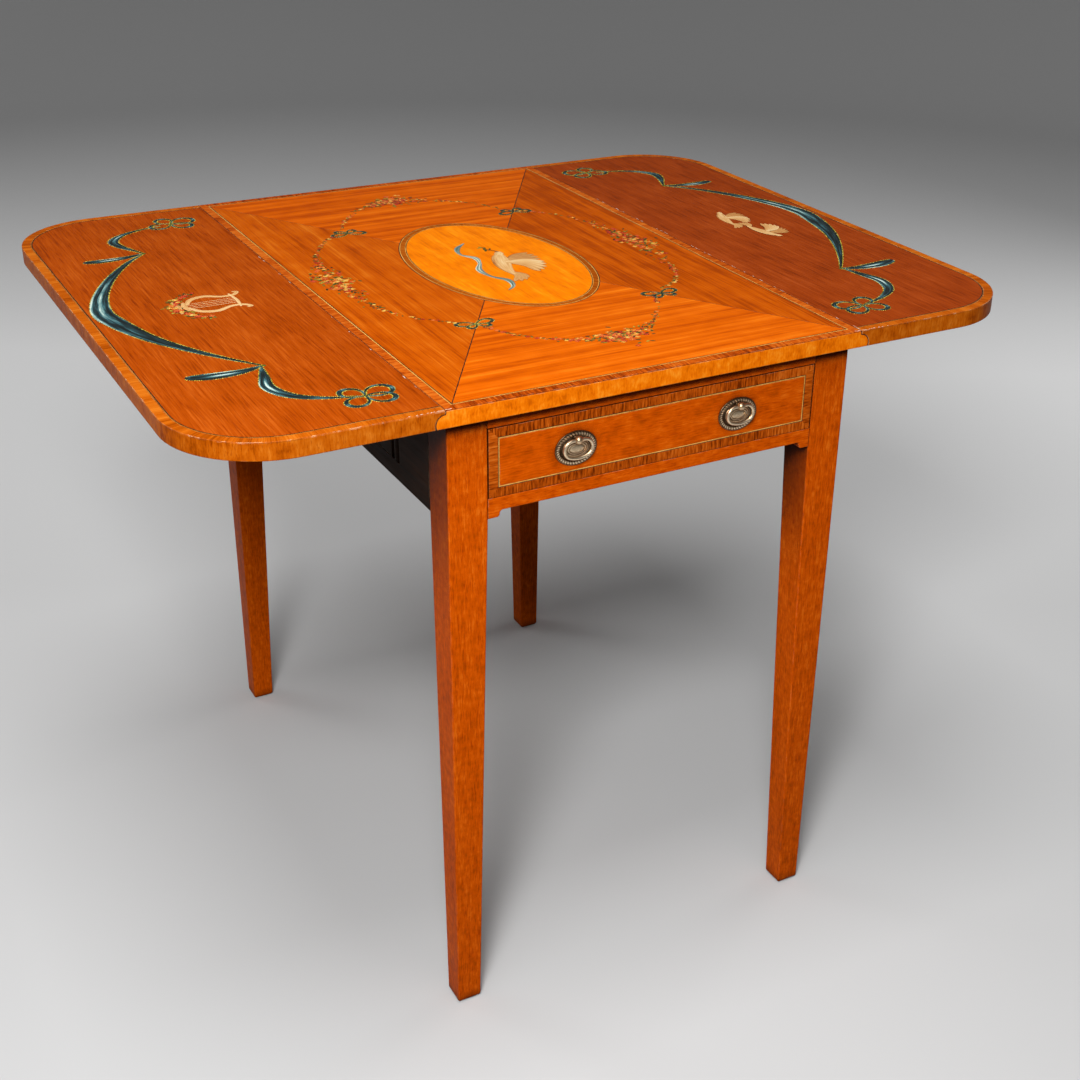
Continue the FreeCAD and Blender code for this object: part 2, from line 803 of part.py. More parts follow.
def bail_path():
    """Places along the ring and which way each faces out of it, as (along, rise, heading).

    A straight length in the post, a side bend at each end of it and a flatter foot.
    """
    half = bail_straight / 2
    foot_offset = bail_foot_radius - bail_side_radius
    bend = math.acos(half / foot_offset)
    foot_rise = foot_offset * math.sin(bend) - bail_side_radius
    headings = [math.pi / 2 - (math.pi / 2 + bend) * step / bend_steps
                for step in range(bend_steps + 1)]
    right = [(half + bail_side_radius * math.cos(heading),
              bail_side_radius * (math.sin(heading) - 1), heading) for heading in headings]
    sweep = (math.pi - 2 * bend) / foot_steps
    foot = []
    for step in range(1, foot_steps):
        heading = -bend - sweep * step
        foot.append((bail_foot_radius * math.cos(heading),
                     foot_rise + bail_foot_radius * math.sin(heading), heading))
    left = [(-along, rise, math.pi - heading) for along, rise, heading in reversed(right)]
    return right + foot + left


def bail(side, end):
    """Oval ring of wire with flats, carried in its post."""
    rings = []
    for along, rise, heading in bail_path():
        ring = []
        for turn in turns(bar_sides):
            wide = bail_wire_radius * math.cos(turn)
            ring.append(handle_point(side, end, along + wide * math.cos(heading),
                                     post_rise + rise + wide * math.sin(heading),
                                     post_standoff + bail_wire_radius * math.sin(turn)))
        rings.append(ring)
    return through_rings(rings, True)


def handles(maker, end):
    return group([maker(side, end) for _, side in sides])


# The table, node by node
for end_name, end_sign in ends:
    for side_name, side_sign in sides:
        parts["leg_%s_%s" % (end_name, side_name)] = leg(side_sign, end_sign)
        parts["fly_%s_%s" % (end_name, side_name)] = fly(side_sign, end_sign)
        parts["bail_%s_%s" % (end_name, side_name)] = bail(side_sign, end_sign)

for side_name, side_sign in sides:
    parts["inner_rail_%s" % side_name] = inner_rail(side_sign)
    parts["fly_rail_%s" % side_name] = fly_rail(side_sign)
    parts["runner_%s" % side_name] = runner(side_sign)
    parts["leaf_board_%s" % side_name] = leaf_board(side_sign)
    parts["leaf_banding_%s" % side_name] = leaf_banding(side_sign)
    parts["leaf_stringing_%s" % side_name] = leaf_stringing(side_sign)
    parts["leaf_hinge_plates_%s" % side_name] = group(hinge_plates(side_sign, True))
    parts["drawer_side_%s" % side_name] = drawer_side(side_sign)

parts["front_top_rail"] = front_top_rail()
parts["front_drawer_rail"] = front_drawer_rail()
parts["back_rail"] = back_rail()
parts["back_crossband"] = frame_ring(1, 0, crossband_width)
parts["back_stringing"] = frame_ring(1, crossband_width, crossband_width + string_width)
parts["fly_pins"] = fly_pins()
parts["drawer_kickers"] = kickers()
parts["drawer_stops"] = drawer_stops()

corner_points = rectangle(crossband_width + string_width)
quarters = [quarter_veneer(corner_points[index], corner_points[(index + 1) % len(corner_points)])
            for index in range(len(corner_points))]
outer_string, oval_band, inner_string, oval_panel = oval_rings()
parts["top_board"] = top_board()
parts["top_edging"] = group(top_edging())
parts["top_crossband"] = group(top_crossband())
parts["top_stringing"] = top_stringing()
parts["top_end_veneers"] = group(quarters[0::2])
parts["top_side_veneers"] = group(quarters[1::2])
parts["top_oval_stringing"] = group([outer_string, inner_string])
parts["top_oval_band"] = oval_band
parts["top_oval_panel"] = oval_panel
parts["top_hinge_plates"] = group([plate for _, side in sides for plate in hinge_plates(side, False)])
parts["hinge_pins"] = group([hinge_pin(side, place, hinge_pin_radius)
                             for _, side in sides for place in hinge_places])

parts["drawer_front"] = drawer_front()
parts["drawer_crossband"] = frame_ring(-1, 0, crossband_width)
parts["drawer_stringing"] = frame_ring(-1, crossband_width, crossband_width + string_width)
parts["drawer_back"] = drawer_back()
parts["drawer_bottom"] = drawer_bottom()

for piece_name, piece_end in (("drawer", -1), ("back", 1)):
    parts["%s_handle_plates" % piece_name] = handles(handle_plate, piece_end)
    parts["%s_handle_posts" % piece_name] = handles(handle_post, piece_end)
    parts["%s_handle_nuts" % piece_name] = handles(handle_nut, piece_end)

os.makedirs("parts", exist_ok=True)
for node, shape in parts.items():
    shape.exportStep("parts/%s.step" % node)
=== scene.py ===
# %% [markdown]
# # A painted pembroke table
# A pembroke table is a small drop-leaf table: a fixed top on four legs, a leaf on either side and a drawer
# at one end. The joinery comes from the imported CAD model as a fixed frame. This lesson gives every surface
# its finish, and adds what a solid model leaves out: painted ribbons and flowers, fine dark lines and
# stamped brass.

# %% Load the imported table
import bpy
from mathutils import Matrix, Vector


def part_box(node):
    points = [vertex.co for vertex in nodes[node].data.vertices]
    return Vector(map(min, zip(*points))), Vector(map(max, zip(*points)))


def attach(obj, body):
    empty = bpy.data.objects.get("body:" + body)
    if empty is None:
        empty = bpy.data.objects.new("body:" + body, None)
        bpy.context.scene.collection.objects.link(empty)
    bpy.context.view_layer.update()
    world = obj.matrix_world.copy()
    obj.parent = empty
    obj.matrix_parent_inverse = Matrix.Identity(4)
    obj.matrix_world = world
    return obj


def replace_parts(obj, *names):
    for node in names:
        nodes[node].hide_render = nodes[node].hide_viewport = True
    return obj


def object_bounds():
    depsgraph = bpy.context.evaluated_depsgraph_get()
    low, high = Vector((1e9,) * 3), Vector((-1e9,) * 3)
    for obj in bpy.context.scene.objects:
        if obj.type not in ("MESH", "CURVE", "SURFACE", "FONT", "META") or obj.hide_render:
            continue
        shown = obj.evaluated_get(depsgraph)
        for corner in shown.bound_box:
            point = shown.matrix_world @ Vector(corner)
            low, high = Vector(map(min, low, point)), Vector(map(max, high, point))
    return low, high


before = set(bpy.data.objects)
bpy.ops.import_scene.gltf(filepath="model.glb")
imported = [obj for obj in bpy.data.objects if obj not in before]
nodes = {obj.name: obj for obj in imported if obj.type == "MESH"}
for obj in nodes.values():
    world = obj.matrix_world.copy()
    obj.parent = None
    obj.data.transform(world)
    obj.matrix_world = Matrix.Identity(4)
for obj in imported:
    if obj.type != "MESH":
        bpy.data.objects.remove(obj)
cad_box = [list(corner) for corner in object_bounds()]

import bmesh
import bpy
import numpy as np
from mathutils import Matrix

mm = 0.001
print(len(nodes), "nodes, box in metres:", np.round(cad_box, 3).tolist())

# %% [markdown]
# ## Sizes
# Whatever is laid on the table is placed by a few sizes, in millimetres. The half width and half length of
# the open table, its height and the corner where a leg stands come from the frame. The rest are the cabinet
# maker's: where the rule joints lie, how round the leaves are, how far the bandings reach in, how big the
# oval and the drawer's face are, and where the handles sit.

# %% Sizes in millimetres
half_open, half_long, top_z = np.round(np.array(cad_box[1]) / mm, 2).tolist()
leg_x, leg_y, _ = np.round(np.abs(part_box("leg_front_left")[0]) / mm, 2).tolist()
joint_x, joint_gap, leaf_round, top_thick = leg_x + 5.5, 0.6, 100.0, 18.0
inlay = 11.4
field_x, field_y = joint_x - inlay, half_long - inlay
oval_x, oval_y = 99.0, 165.0
face_x, face_z, face_middle = 187.5, 35.9, 651.15
knob_x, knob_z = 94.0, 649.65
hands = (("left", -1), ("right", 1))
ends = (("front", -1), ("back", 1))
print("joints at", joint_x, "mm, leaves reach", half_open, "mm, the top lies at", top_z, "mm")

# %% [markdown]
# ## Camera
# The photograph was taken from the left of the drawer end, looking down. Its place was worked out from the
# straight edges of the table, so it is written here as angles, and the three axes follow from them.


# %% Camera at the photograph's place
def stand(thing, right, up, back, place):
    """Put the camera or a lamp at a place, with its own X, Y and Z along three directions."""
    axes = np.eye(4)
    axes[:3] = np.column_stack([right, up, back, place])
    thing.matrix_world = Matrix(axes.tolist())
    bpy.context.scene.collection.objects.link(thing)


yaw, pitch, roll = np.radians((30.03, -26.85, 1.33))
forward = np.array([np.sin(yaw) * np.cos(pitch), np.cos(yaw) * np.cos(pitch), np.sin(pitch)])
level = np.array([np.cos(yaw), -np.sin(yaw), 0])
upright = np.cross(level, forward)
right = np.cos(roll) * level + np.sin(roll) * upright
up = np.cos(roll) * upright - np.sin(roll) * level
camera = bpy.data.objects.new("camera", bpy.data.cameras.new("camera"))
camera_place = (-0.7796, -1.5782, 1.2770)
stand(camera, right, up, -forward, camera_place)
camera.data.sensor_width = 36
camera.data.lens = 52.8
camera.data.shift_x = -0.047
camera.data.shift_y = -0.0165
bpy.context.scene.camera = camera
bpy.context.scene.view_settings.view_transform = "Standard"
print("camera at", camera_place, "looks along", np.round(forward, 3).tolist())

# %% [markdown]
# ## Tools
# A few small tools serve the whole lesson. One turns a hex colour into the linear numbers that Blender
# works with, two make materials and their nodes, and the last turns a grid of points into a mesh. Grids are
# worked out with numpy as whole arrays, which is quicker and clearer than moving vertices one at a time.


# %% Colour, node and surface tools
def linear(code):
    """sRGB hex to linear RGBA: c / 12.92 below 0.04045, else ((c + 0.055) / 1.055) to the power 2.4."""
    c = np.array([int(code[i:i + 2], 16) for i in (1, 3, 5)]) / 255
    return (*np.where(c <= 0.04045, c / 12.92, ((c + 0.055) / 1.055) ** 2.4).tolist(), 1.0)


def new_material(name, **inputs):
    """A material and its shader, with what is the same all over set on the shader's own sockets."""
    material = bpy.data.materials.new(name)
    material.use_nodes = True
    shader = material.node_tree.nodes["Principled BSDF"]
    for socket, value in inputs.items():
        shader.inputs[socket.replace("_", " ")].default_value = value
    return material, material.node_tree, shader


def add(tree, kind, values=(), stops=(), **settings):
    """Add a shader node; a second word in kind is its operation, as in "Math ADD".

    values sets its inputs, in order or by name: a node or a socket is linked, anything else is a constant.
    """
    kind, *operation = kind.split()
    node = tree.nodes.new("ShaderNode" + kind)
    if operation:
        node.operation = operation[0]
    for name, value in settings.items():
        setattr(node, name, value)
    for socket, value in values.items() if isinstance(values, dict) else enumerate(values):
        if isinstance(value, bpy.types.Node):
            value = value.outputs[0]
        if isinstance(value, bpy.types.NodeSocket):
            tree.links.new(value, node.inputs[socket])
        else:
            node.inputs[socket].default_value = value
    if stops:
        while len(node.color_ramp.elements) < len(stops):
            node.color_ramp.elements.new(1.0)
        for element, (place, code) in zip(node.color_ramp.elements, stops):
            element.position, element.color = place, linear(code)
    return node


def round_angles(count):
    """Angles of so many points, evenly round a circle."""
    return np.linspace(0, 2 * np.pi, count, endpoint=False)


def surface(name, grid, material, loop=(False, False), uv=None, tone=None):
    """Mesh over grids of points, shaped (patches, rows, columns, 3): each cell is a quad.

    loop joins the last row or column to the first, and points that fall together become one. uv and tone give
    each point its place along and across a stroke, and its share of light or dark.
    """
    grid = np.asarray(grid, float)
    grid = grid[None] if grid.ndim == 3 else grid
    index = np.arange(grid[..., 0].size).reshape(grid.shape[:3])
    if loop[0]:
        index = np.concatenate([index, index[:, :1]], axis=1)
    if loop[1]:
        index = np.concatenate([index, index[:, :, :1]], axis=2)
    quads = np.stack([index[:, :-1, :-1], index[:, 1:, :-1], index[:, 1:, 1:], index[:, :-1, 1:]], -1)
    quads = quads.reshape(-1, 4)
    mesh = bpy.data.meshes.new(name)
    mesh.from_pydata(grid.reshape(-1, 3).tolist(), [], quads.tolist())
    if uv is not None:
        layer = mesh.uv_layers.new(name="stroke")
        layer.data.foreach_set("uv", np.asarray(uv, np.float32).reshape(-1, 2)[quads.ravel()].ravel())
    if tone is not None:
        shade = np.broadcast_to(tone, grid.shape[:3]).astype(np.float32)
        mesh.attributes.new("tone", "FLOAT", "POINT").data.foreach_set("value", shade.ravel())
    mesh.polygons.foreach_set("use_smooth", np.ones(len(quads), bool))
    welded = bmesh.new()
    welded.from_mesh(mesh)
    bmesh.ops.remove_doubles(welded, verts=welded.verts, dist=1e-7)
    welded.to_mesh(mesh)
    welded.free()
    mesh.materials.append(material)
    piece = bpy.data.objects.new(name, mesh)
    bpy.context.scene.collection.objects.link(piece)
    print(name, len(mesh.polygons), "faces")
    return piece


# %% [markdown]
# ## Studio
# The table stands in a round cove of pale paper: a floor that bends up into a wall on every side, so that
# each view has the same plain ground. One lamp stands close, high on the left of the drawer end, so the
# light falls off towards the far right corner. A wide one overhead throws the soft shadow under the table,
# and three faint ones keep the ends and the right side from going black. The paper's own grey carries
# painted shade: darker in front of and under the table, a painted shadow there, lightest a metre or two
# behind it, and darker again as it runs back and up the wall.

# %% Paper sweep and lamps
depth = np.array([np.sin(yaw), np.cos(yaw), 0])
bend, back, tall = 2.0, 4.2, 4.4
turn = np.linspace(0, np.pi / 2, 24)
run = np.concatenate([np.linspace(0, back, 20), back + bend * np.sin(turn[1:]), [back + bend]])[:, None]
rise = np.concatenate([np.zeros(20), bend * (1 - np.cos(turn[1:])), [tall]])[:, None]
around = round_angles(96)
sweep = np.stack(np.broadcast_arrays(run * np.cos(around), run * np.sin(around), rise), axis=-1)

paper, tree, shader = new_material("studio_paper", Roughness=0.9)
place = add(tree, "TexCoord").outputs["Object"]
away = add(tree, "VectorMath DOT_PRODUCT", (place, tuple(depth)))
share = add(tree, "MapRange", (away.outputs["Value"], -1.6, back + 1.2))
# painted shade in the paper's grey: darker near and under the table, and again far back
paper_grey_and_shade = ((0.0, "#cacaca"), (0.2, "#cccccc"), (0.3, "#d6d6d6"),
          (0.45, "#fafafa"), (0.8, "#e4e4e4"), (1.0, "#d0d0d0"))
grey = add(tree, "ValToRGB", (share,), stops=paper_grey_and_shade)
ray = add(tree, "LightPath").outputs
seen = add(tree, "Math ADD", (ray["Is Camera Ray"], ray["Is Glossy Ray"]))
seen = add(tree, "Math ADD", (seen, ray["Is Transmission Ray"]), use_clamp=True)
dim = add(tree, "Mix", {0: seen, 6: linear("#6a6a6a"), 7: grey}, data_type="RGBA")
tree.links.new(dim.outputs[2], shader.inputs["Base Color"])
floor = surface("sweep", sweep, paper, (False, True))

lamps = (("key", (-1.05, -1.62, 1.92), (-0.1, -0.1, 0.6), 0.6, 56),
         ("overhead", (-0.55, -0.5, 4.4), (0, 0.1, 0), 1.8, 80),
         ("front_fill", (-0.5, -2.9, 1.1), (0, 0, 0.4), 1.4, 0.8),
         ("back_fill", (-1.9, 2.5, 1.5), (0, 0, 0.5), 1.2, 12),
         ("side_fill", (2.6, 0.5, 1.3), (0, 0, 0.5), 1.2, 9))
for name, spot, aim, size, power in lamps:
    lamp = bpy.data.objects.new(name, bpy.data.lights.new(name, "AREA"))
    lamp.data.energy, lamp.data.size = power, size
    toward = np.subtract(aim, spot) / np.linalg.norm(np.subtract(aim, spot))
    side = np.cross(toward, (0.0, 1.0, 0.001))
    side /= np.linalg.norm(side)
    stand(lamp, side, np.cross(side, toward), -toward, spot)
world = bpy.data.worlds.new("studio")
bpy.context.scene.world = world
world.use_nodes = True
sky = world.node_tree.nodes["Background"]
sky.inputs["Color"].default_value = linear("#f0f0f0")
sky.inputs["Strength"].default_value = 0.045
print(len(lamps), "lamps; the sweep bends up", back, "m behind the table")

# %% [markdown]
# ## Polished woods
# The table shows a dozen pieces of cut wood under one French polish: mahogany legs and leaves, satinwood
# veneers laid with their grain in different directions, and narrow bandings cut across the grain. All share
# one recipe: broad stripes, fine fibres and open pores, each a noise drawn out along the grain. What
# differs is where the grain runs, so that comes in as a function which gives X along the grain and Y across
# it.


# %% Where the grain runs
def grain(axis, shift=0.0):
    """Straight grain: the object's own coordinates, turned so that the given axis becomes X."""
    turned = {"x": (0, 0, 0), "y": (0, 0, -np.pi / 2), "z": (0, np.pi / 2, 0)}[axis]

    def made(tree):
        place = add(tree, "TexCoord").outputs["Object"]
        return add(tree, "Mapping", {"Vector": place, "Rotation": turned, "Location": (shift,) * 3})
    return made


def two_sheets(along, across):
    """Straight grain in a pair of veneers: Z is 1 on the sheet past the middle, so that they differ."""
    def made(tree):
        split = add(tree, "SeparateXYZ", (add(tree, "TexCoord").outputs["Object"],))
        past = add(tree, "Math GREATER_THAN", (split.outputs[across], 0.0))
        return add(tree, "CombineXYZ", (split.outputs[along], split.outputs[across], past))
    return made


def across_leaf_edge(tree):
    """Cross grain round a leaf: Y is the run along its edge, straight, round a corner and straight again.

    run = min(|y|, c) + r atan2(max(|y| - c, 0), max(|x| - d, 0)) - min(|x| - d, 0), where the corner
    has radius r and its centre at d, c.
    """
    centre_x, centre_y = (half_open - leaf_round) * mm, (half_long - leaf_round) * mm
    split = add(tree, "SeparateXYZ", (add(tree, "TexCoord").outputs["Object"],))
    x, y = (add(tree, "Math ABSOLUTE", (split.outputs[i],)) for i in (0, 1))
    past_x = add(tree, "Math SUBTRACT", (x, centre_x))
    past_y = add(tree, "Math SUBTRACT", (y, centre_y))
    over_x, over_y = (add(tree, "Math MAXIMUM", (past, 0.0)) for past in (past_x, past_y))
    angle = add(tree, "Math ARCTAN2", (over_y, over_x))
    straight = add(tree, "Math MINIMUM", (y, centre_y))
    end_part = add(tree, "Math MINIMUM", (past_x, 0.0))
    corner = add(tree, "Math MULTIPLY_ADD", (angle, leaf_round * mm, straight))
    run = add(tree, "Math SUBTRACT", (corner, end_part))
    return add(tree, "CombineXYZ", (split.outputs[2], run))


def across_frame(half_x, half_other, other, middle=0.0):
    """Cross grain on a mitred frame, half sizes in mm: Y is x on two strips and the other axis on the rest.

    Z is 1 on the strips at either side and 0 on the others, so that the two pairs can differ in tone.
    """
    def made(tree):
        split = add(tree, "SeparateXYZ", (add(tree, "TexCoord").outputs["Object"],))
        level_out = add(tree, "Math SUBTRACT", (split.outputs[other], middle * mm))
        to_side = add(tree, "Math ABSOLUTE", (split.outputs[0],))
        to_end = add(tree, "Math ABSOLUTE", (level_out,))
        gap = add(tree, "Math SUBTRACT", (to_side, to_end))
        beside = add(tree, "Math GREATER_THAN", (gap, (half_x - half_other) * mm))
        run = add(tree, "Mix", {0: beside, 2: split.outputs[0], 3: level_out})
        cross = add(tree, "Mix", {0: beside, 2: level_out, 3: split.outputs[0]})
        return add(tree, "CombineXYZ", (cross, run, beside))
    return made


def across_oval(tree):
    """Cross grain round the oval: Y is the angle about its middle, times a middling radius."""
    split = add(tree, "SeparateXYZ", (add(tree, "TexCoord").outputs["Object"],))
    angle = add(tree, "Math ARCTAN2", (split.outputs[1], split.outputs[0]))
    run = add(tree, "Math MULTIPLY", (angle, 130 * mm))
    return add(tree, "CombineXYZ", {1: run})


# %% The recipe for polished wood
def polished_wood(name, grain_of, tones, stripe=9.0, fibre=2.0, figure=40.0, length=22.0,
                  shares=(0.45, 0.3, 0.25), pores=0.4, strips=0.0, lift=0.0, rough=0.36, coat=0.03,
                  gleam=0.015, chips=0.3, corner_painted_shade=0.85, leaf_painted_shade=0.0):
    """Wood under French polish. tones are hex colours from the dark late wood to the light, sizes are in mm.

    stripe is the width of a broad stripe, fibre that of a fibre, drawn about twice too coarse so that it
    shows, figure the size of the cloudy mottle, length how many times longer than wide a streak is, and
    shares how much each of the three counts. strips cuts the run into pieces of that length, lift makes
    what has a Z of 1 lighter, and chips is how pale the edges go in patches, wear and a painted highlight
    along the arrises together. The last two set how dark the painted shade is: within 16 mm of a corner
    and under the top's edge, and under a leaf on the upper part of a leg.
    """
    material, tree, shader = new_material(name, IOR=1.5, Specular_IOR_Level=gleam, Coat_Weight=coat,
                                          Coat_Roughness=0.2, Specular_Tint=linear("#d8722a"),
                                          Coat_Tint=linear("#f0b070"))
    tones = tones.split()
    place = grain_of(tree)
    drawn = add(tree, "Mapping", {"Vector": place, "Scale": (1 / length, 1, 1)})
    broad = add(tree, "TexNoise", {"Vector": drawn, "Scale": 1000 / stripe, "Detail": 3.0,
                                   "Roughness": 0.6, "Distortion": 0.3})
    fine = add(tree, "TexNoise", {"Vector": drawn, "Scale": 1000 / fibre, "Detail": 2.0})
    cloud = add(tree, "TexNoise", {"Vector": place, "Scale": 1000 / figure, "Detail": 3.0})
    both = add(tree, "Math MULTIPLY", (broad, shares[0]))
    both = add(tree, "Math MULTIPLY_ADD", (fine, shares[1], both))
    both = add(tree, "Math MULTIPLY_ADD", (cloud, shares[2], both))
    split = add(tree, "SeparateXYZ", (place,))
    if strips:
        piece = add(tree, "Math DIVIDE", (split.outputs[1], strips * mm))
        piece = add(tree, "Math FLOOR", (piece,))
        chance = add(tree, "TexWhiteNoise", {"W": piece}, noise_dimensions="1D")
        tilt = add(tree, "Math MULTIPLY_ADD", (chance, 0.1, -0.05))
        both = add(tree, "Math ADD", (both, tilt))
    if lift:
        both = add(tree, "Math MULTIPLY_ADD", (split.outputs[2], lift, both))
    colour = add(tree, "ValToRGB", (both,), stops=tuple(zip((0.38, 0.46, 0.54, 0.64), tones)))
    pore = add(tree, "TexNoise", {"Vector": drawn, "Scale": 1000 / (fibre * 0.7), "Detail": 1.0})
    pore = add(tree, "MapRange", (pore, 0.58, 0.70, 0.0, pores))
    colour = add(tree, "Mix", {0: pore, 6: colour, 7: linear(tones[0])}, data_type="RGBA",
                 blend_type="MULTIPLY")
    # edges go pale in patches where the rounded normal leaves the flat one: wear, and a painted highlight
    # along the arrises
    rounded = add(tree, "Bevel", {"Radius": 1.4 * mm}, samples=4)
    flat = add(tree, "NewGeometry").outputs["True Normal"]
    facing = add(tree, "VectorMath DOT_PRODUCT", (rounded, flat)).outputs["Value"]
    wear_and_highlight = add(tree, "MapRange", (facing, 0.98, 0.8, 0.0, 1.0))
    wear = add(tree, "TexNoise", {"Vector": place, "Scale": 120.0, "Detail": 3.0})
    wear_and_highlight_patches = add(tree, "MapRange", (wear, 0.5, 0.6, 0.1 * chips, chips))
    wear_and_highlight = add(tree, "Math MULTIPLY", (wear_and_highlight, wear_and_highlight_patches))
    colour = add(tree, "Mix", {0: wear_and_highlight, 6: colour.outputs[2], 7: linear("#f2c79c")}, data_type="RGBA")
    # painted shade: darker within 16 mm of a corner and under the top's edge, where little of the room shows
    open_to = add(tree, "AmbientOcclusion", {"Distance": 16 * mm}, samples=3).outputs["AO"]
    painted_shade = add(tree, "MapRange", (open_to, 0.7, 0.88, corner_painted_shade, 0.0))
    if leaf_painted_shade:
        # painted shade under a leaf, on the upper part of a leg only
        open_to = add(tree, "AmbientOcclusion", {"Distance": 250 * mm}, samples=4).outputs["AO"]
        under_leaf_shade = add(tree, "MapRange", (open_to, 0.77, 0.925, leaf_painted_shade, 0.0))
        height = add(tree, "SeparateXYZ", (add(tree, "TexCoord").outputs["Object"],)).outputs[2]
        upper = add(tree, "MapRange", (height, 400 * mm, 500 * mm))
        under_leaf_shade = add(tree, "Math MULTIPLY", (under_leaf_shade, upper))
        painted_shade = add(tree, "Math MAXIMUM", (painted_shade, under_leaf_shade))
    colour = add(tree, "Mix", {0: painted_shade, 6: colour.outputs[2], 7: linear("#140a05")}, data_type="RGBA")
    tree.links.new(colour.outputs[2], shader.inputs["Base Color"])
    gloss = add(tree, "MapRange", (fine, 0.3, 0.7, rough - 0.05, rough + 0.08))
    tree.links.new(gloss.outputs[0], shader.inputs["Roughness"])
    bump = add(tree, "Bump", {"Height": both, "Strength": 0.12, "Distance": 0.3 * mm, "Normal": rounded})
    tree.links.new(bump.outputs[0], shader.inputs["Normal"])
    return material


# %% [markdown]
# Mahogany is red-brown with short dark pores; satinwood is golden with a silky ripple; a banding is the
# same wood cut across, so its fibres show as short bars. Stained beech and plain oak stay dull, with no
# polish. Each row has a wood, the beginnings of the names of the nodes it is for, its grain, its tones and
# its sizes.

# %% The woods
mahogany = "#b24600 #ca5000 #d65802 #e46c12"
leaf_red = "#903700 #a64302 #ae4906 #bc5712"
# the right leaf's mahogany is darker than the left's: partly its own wood, partly painted shade for the side
# further from the key lamp
right_red = "#803006 #963a0a #9e400e #ac4c1a"
gold = "#b64800 #ce5900 #dc6404 #ea7a14"
brown_gold = "#a03f00 #bc5000 #c85b04 #d87218"
bright_gold = "#de6c00 #ee7a00 #f68402 #ff9814"
oval_tulip = "#843600 #a44c04 #b05608 #c06a18"
top_tulip = "#7c2c00 #a84204 #c0540a #d46e1e"
face_tulip = "#6e2800 #a84606 #c0560c #d46e20"
leaf_gold = "#984200 #b65404 #c2600a #d2741c"
pale_gold = "#d06000 #ea7202 #f6800a #ff9a24"
boxwood = "#b87830 #e0a048 #ecb058 #f8c470"
dim_boxwood = "#8a4c14 #ac6820 #b8742c #c8843c"
beech = "#100905 #1c110a #24160e #2e1d12"
oak = "#553416 #6e4720 #7a5228 #8a6034"
fibrous, striped = (0.25, 0.5, 0.25), (0.6, 0.25, 0.15)
soft, mottled = (0.25, 0.42, 0.33), (0.2, 0.3, 0.5)
plain, dull = {"pores": 0.15, "chips": 0.0}, {"rough": 0.6, "coat": 0.0}
recipes = (
    # the legs take painted shade under the leaves as well as in their corners
    ("mahogany_upright", "leg_", grain("z", 0.3), mahogany, (14, 1.6, 7, 8, soft, 0.35),
     {"chips": 0.45, "corner_painted_shade": 0.5, "leaf_painted_shade": 0.9}),
    ("mahogany_rail", "front_ top_board", grain("x"), mahogany, (14, 1.6, 7, 8, soft, 0.35), {}),
    ("mahogany_left_leaf", "leaf_board_left", grain("y", 0.7), leaf_red, (8, 1.7, 50, 30, fibrous, 0.4), {}),
    ("mahogany_right_leaf", "leaf_board_right", grain("y", 0.2), right_red,
     (8, 1.7, 50, 30, fibrous, 0.4), {}),
    # lift darkens the back end sheet and the right side sheet: partly the veneers' own difference, partly
    # painted shade towards the far right corner
    ("satinwood_across", "top_end_", two_sheets(0, 1), gold, (11, 2.0, 24, 34, striped, 0.15),
     {"lift": -0.03}),
    ("satinwood_along", "top_side_", two_sheets(1, 0), brown_gold,
     (11, 2.0, 40, 34, (0.42, 0.35, 0.23), 0.25), {"lift": -0.05}),
    ("satinwood_mottled", "top_oval_panel", grain("y", 0.9), bright_gold,
     (12, 2.2, 30, 9, (0.4, 0.3, 0.3), 0.0), {}),
    ("mahogany_drawer_face", "back_rail drawer_front", grain("x", 0.6), mahogany,
     (9, 1.6, 13, 9, (0.25, 0.35, 0.4), 0.3), {}),
    ("tulipwood_round_oval", "top_oval_band", across_oval, oval_tulip, (3.0, 1.6, 12, 8, striped),
     {"strips": 45}),
    ("tulipwood_top_banding", "top_crossband", across_frame(joint_x, half_long, 1), top_tulip,
     (2.8, 1.6, 12, 8, striped), {"strips": 62, "lift": 0.06}),
    ("tulipwood_drawer_banding", "back_crossband drawer_crossband",
     across_frame(face_x, face_z, 2, face_middle), face_tulip, (2.2, 1.5, 12, 8, striped),
     {"strips": 70, "lift": 0.03}),
    ("satinwood_leaf_banding", "leaf_banding_", across_leaf_edge, leaf_gold,
     (2.8, 1.6, 13, 6, (0.35, 0.2, 0.45)), {"strips": 70, "chips": 0.8}),
    ("satinwood_edging", "top_edging", grain("z", 0.1), pale_gold, (9, 2.0, 13, 3, mottled, 0.2),
     {"chips": 0.6}),
    ("boxwood_line", "back_stringing top_stringing top_oval_stringing drawer_stringing", grain("y"), boxwood,
     (), plain),
    ("stained_boxwood_line", "leaf_stringing_", grain("y"), dim_boxwood, (), plain),
    ("stained_beech", "fly_", grain("y", 0.5), beech, (7, 2.0), {"rough": 0.7, "coat": 0.0, "gleam": 0.1}),
    ("plain_oak", "inner_rail_ runner_ drawer_kickers drawer_side_", grain("y", 0.8), oak,
     (9, 1.6, 50, 26, fibrous, 0.35), dull),
    ("plain_oak_across", "drawer_stops drawer_back drawer_bottom", grain("x", 0.8), oak,
     (9, 1.6, 50, 26, fibrous, 0.35), dull),
)
woods = {name: polished_wood(name, grain_of, tones, *sizes, **more)
         for name, _, grain_of, tones, sizes, more in recipes}
print(len(woods), "woods")

# %% [markdown]
# ## Metals
# The ring handles are stamped brass that has gone brown in its hollows and stays bright where fingers rub
# it. Each point of a handle carries a tone, low in a hollow and high on a crest, and the colour follows
# that. The hinges under the top are blackened iron, which nobody polishes.


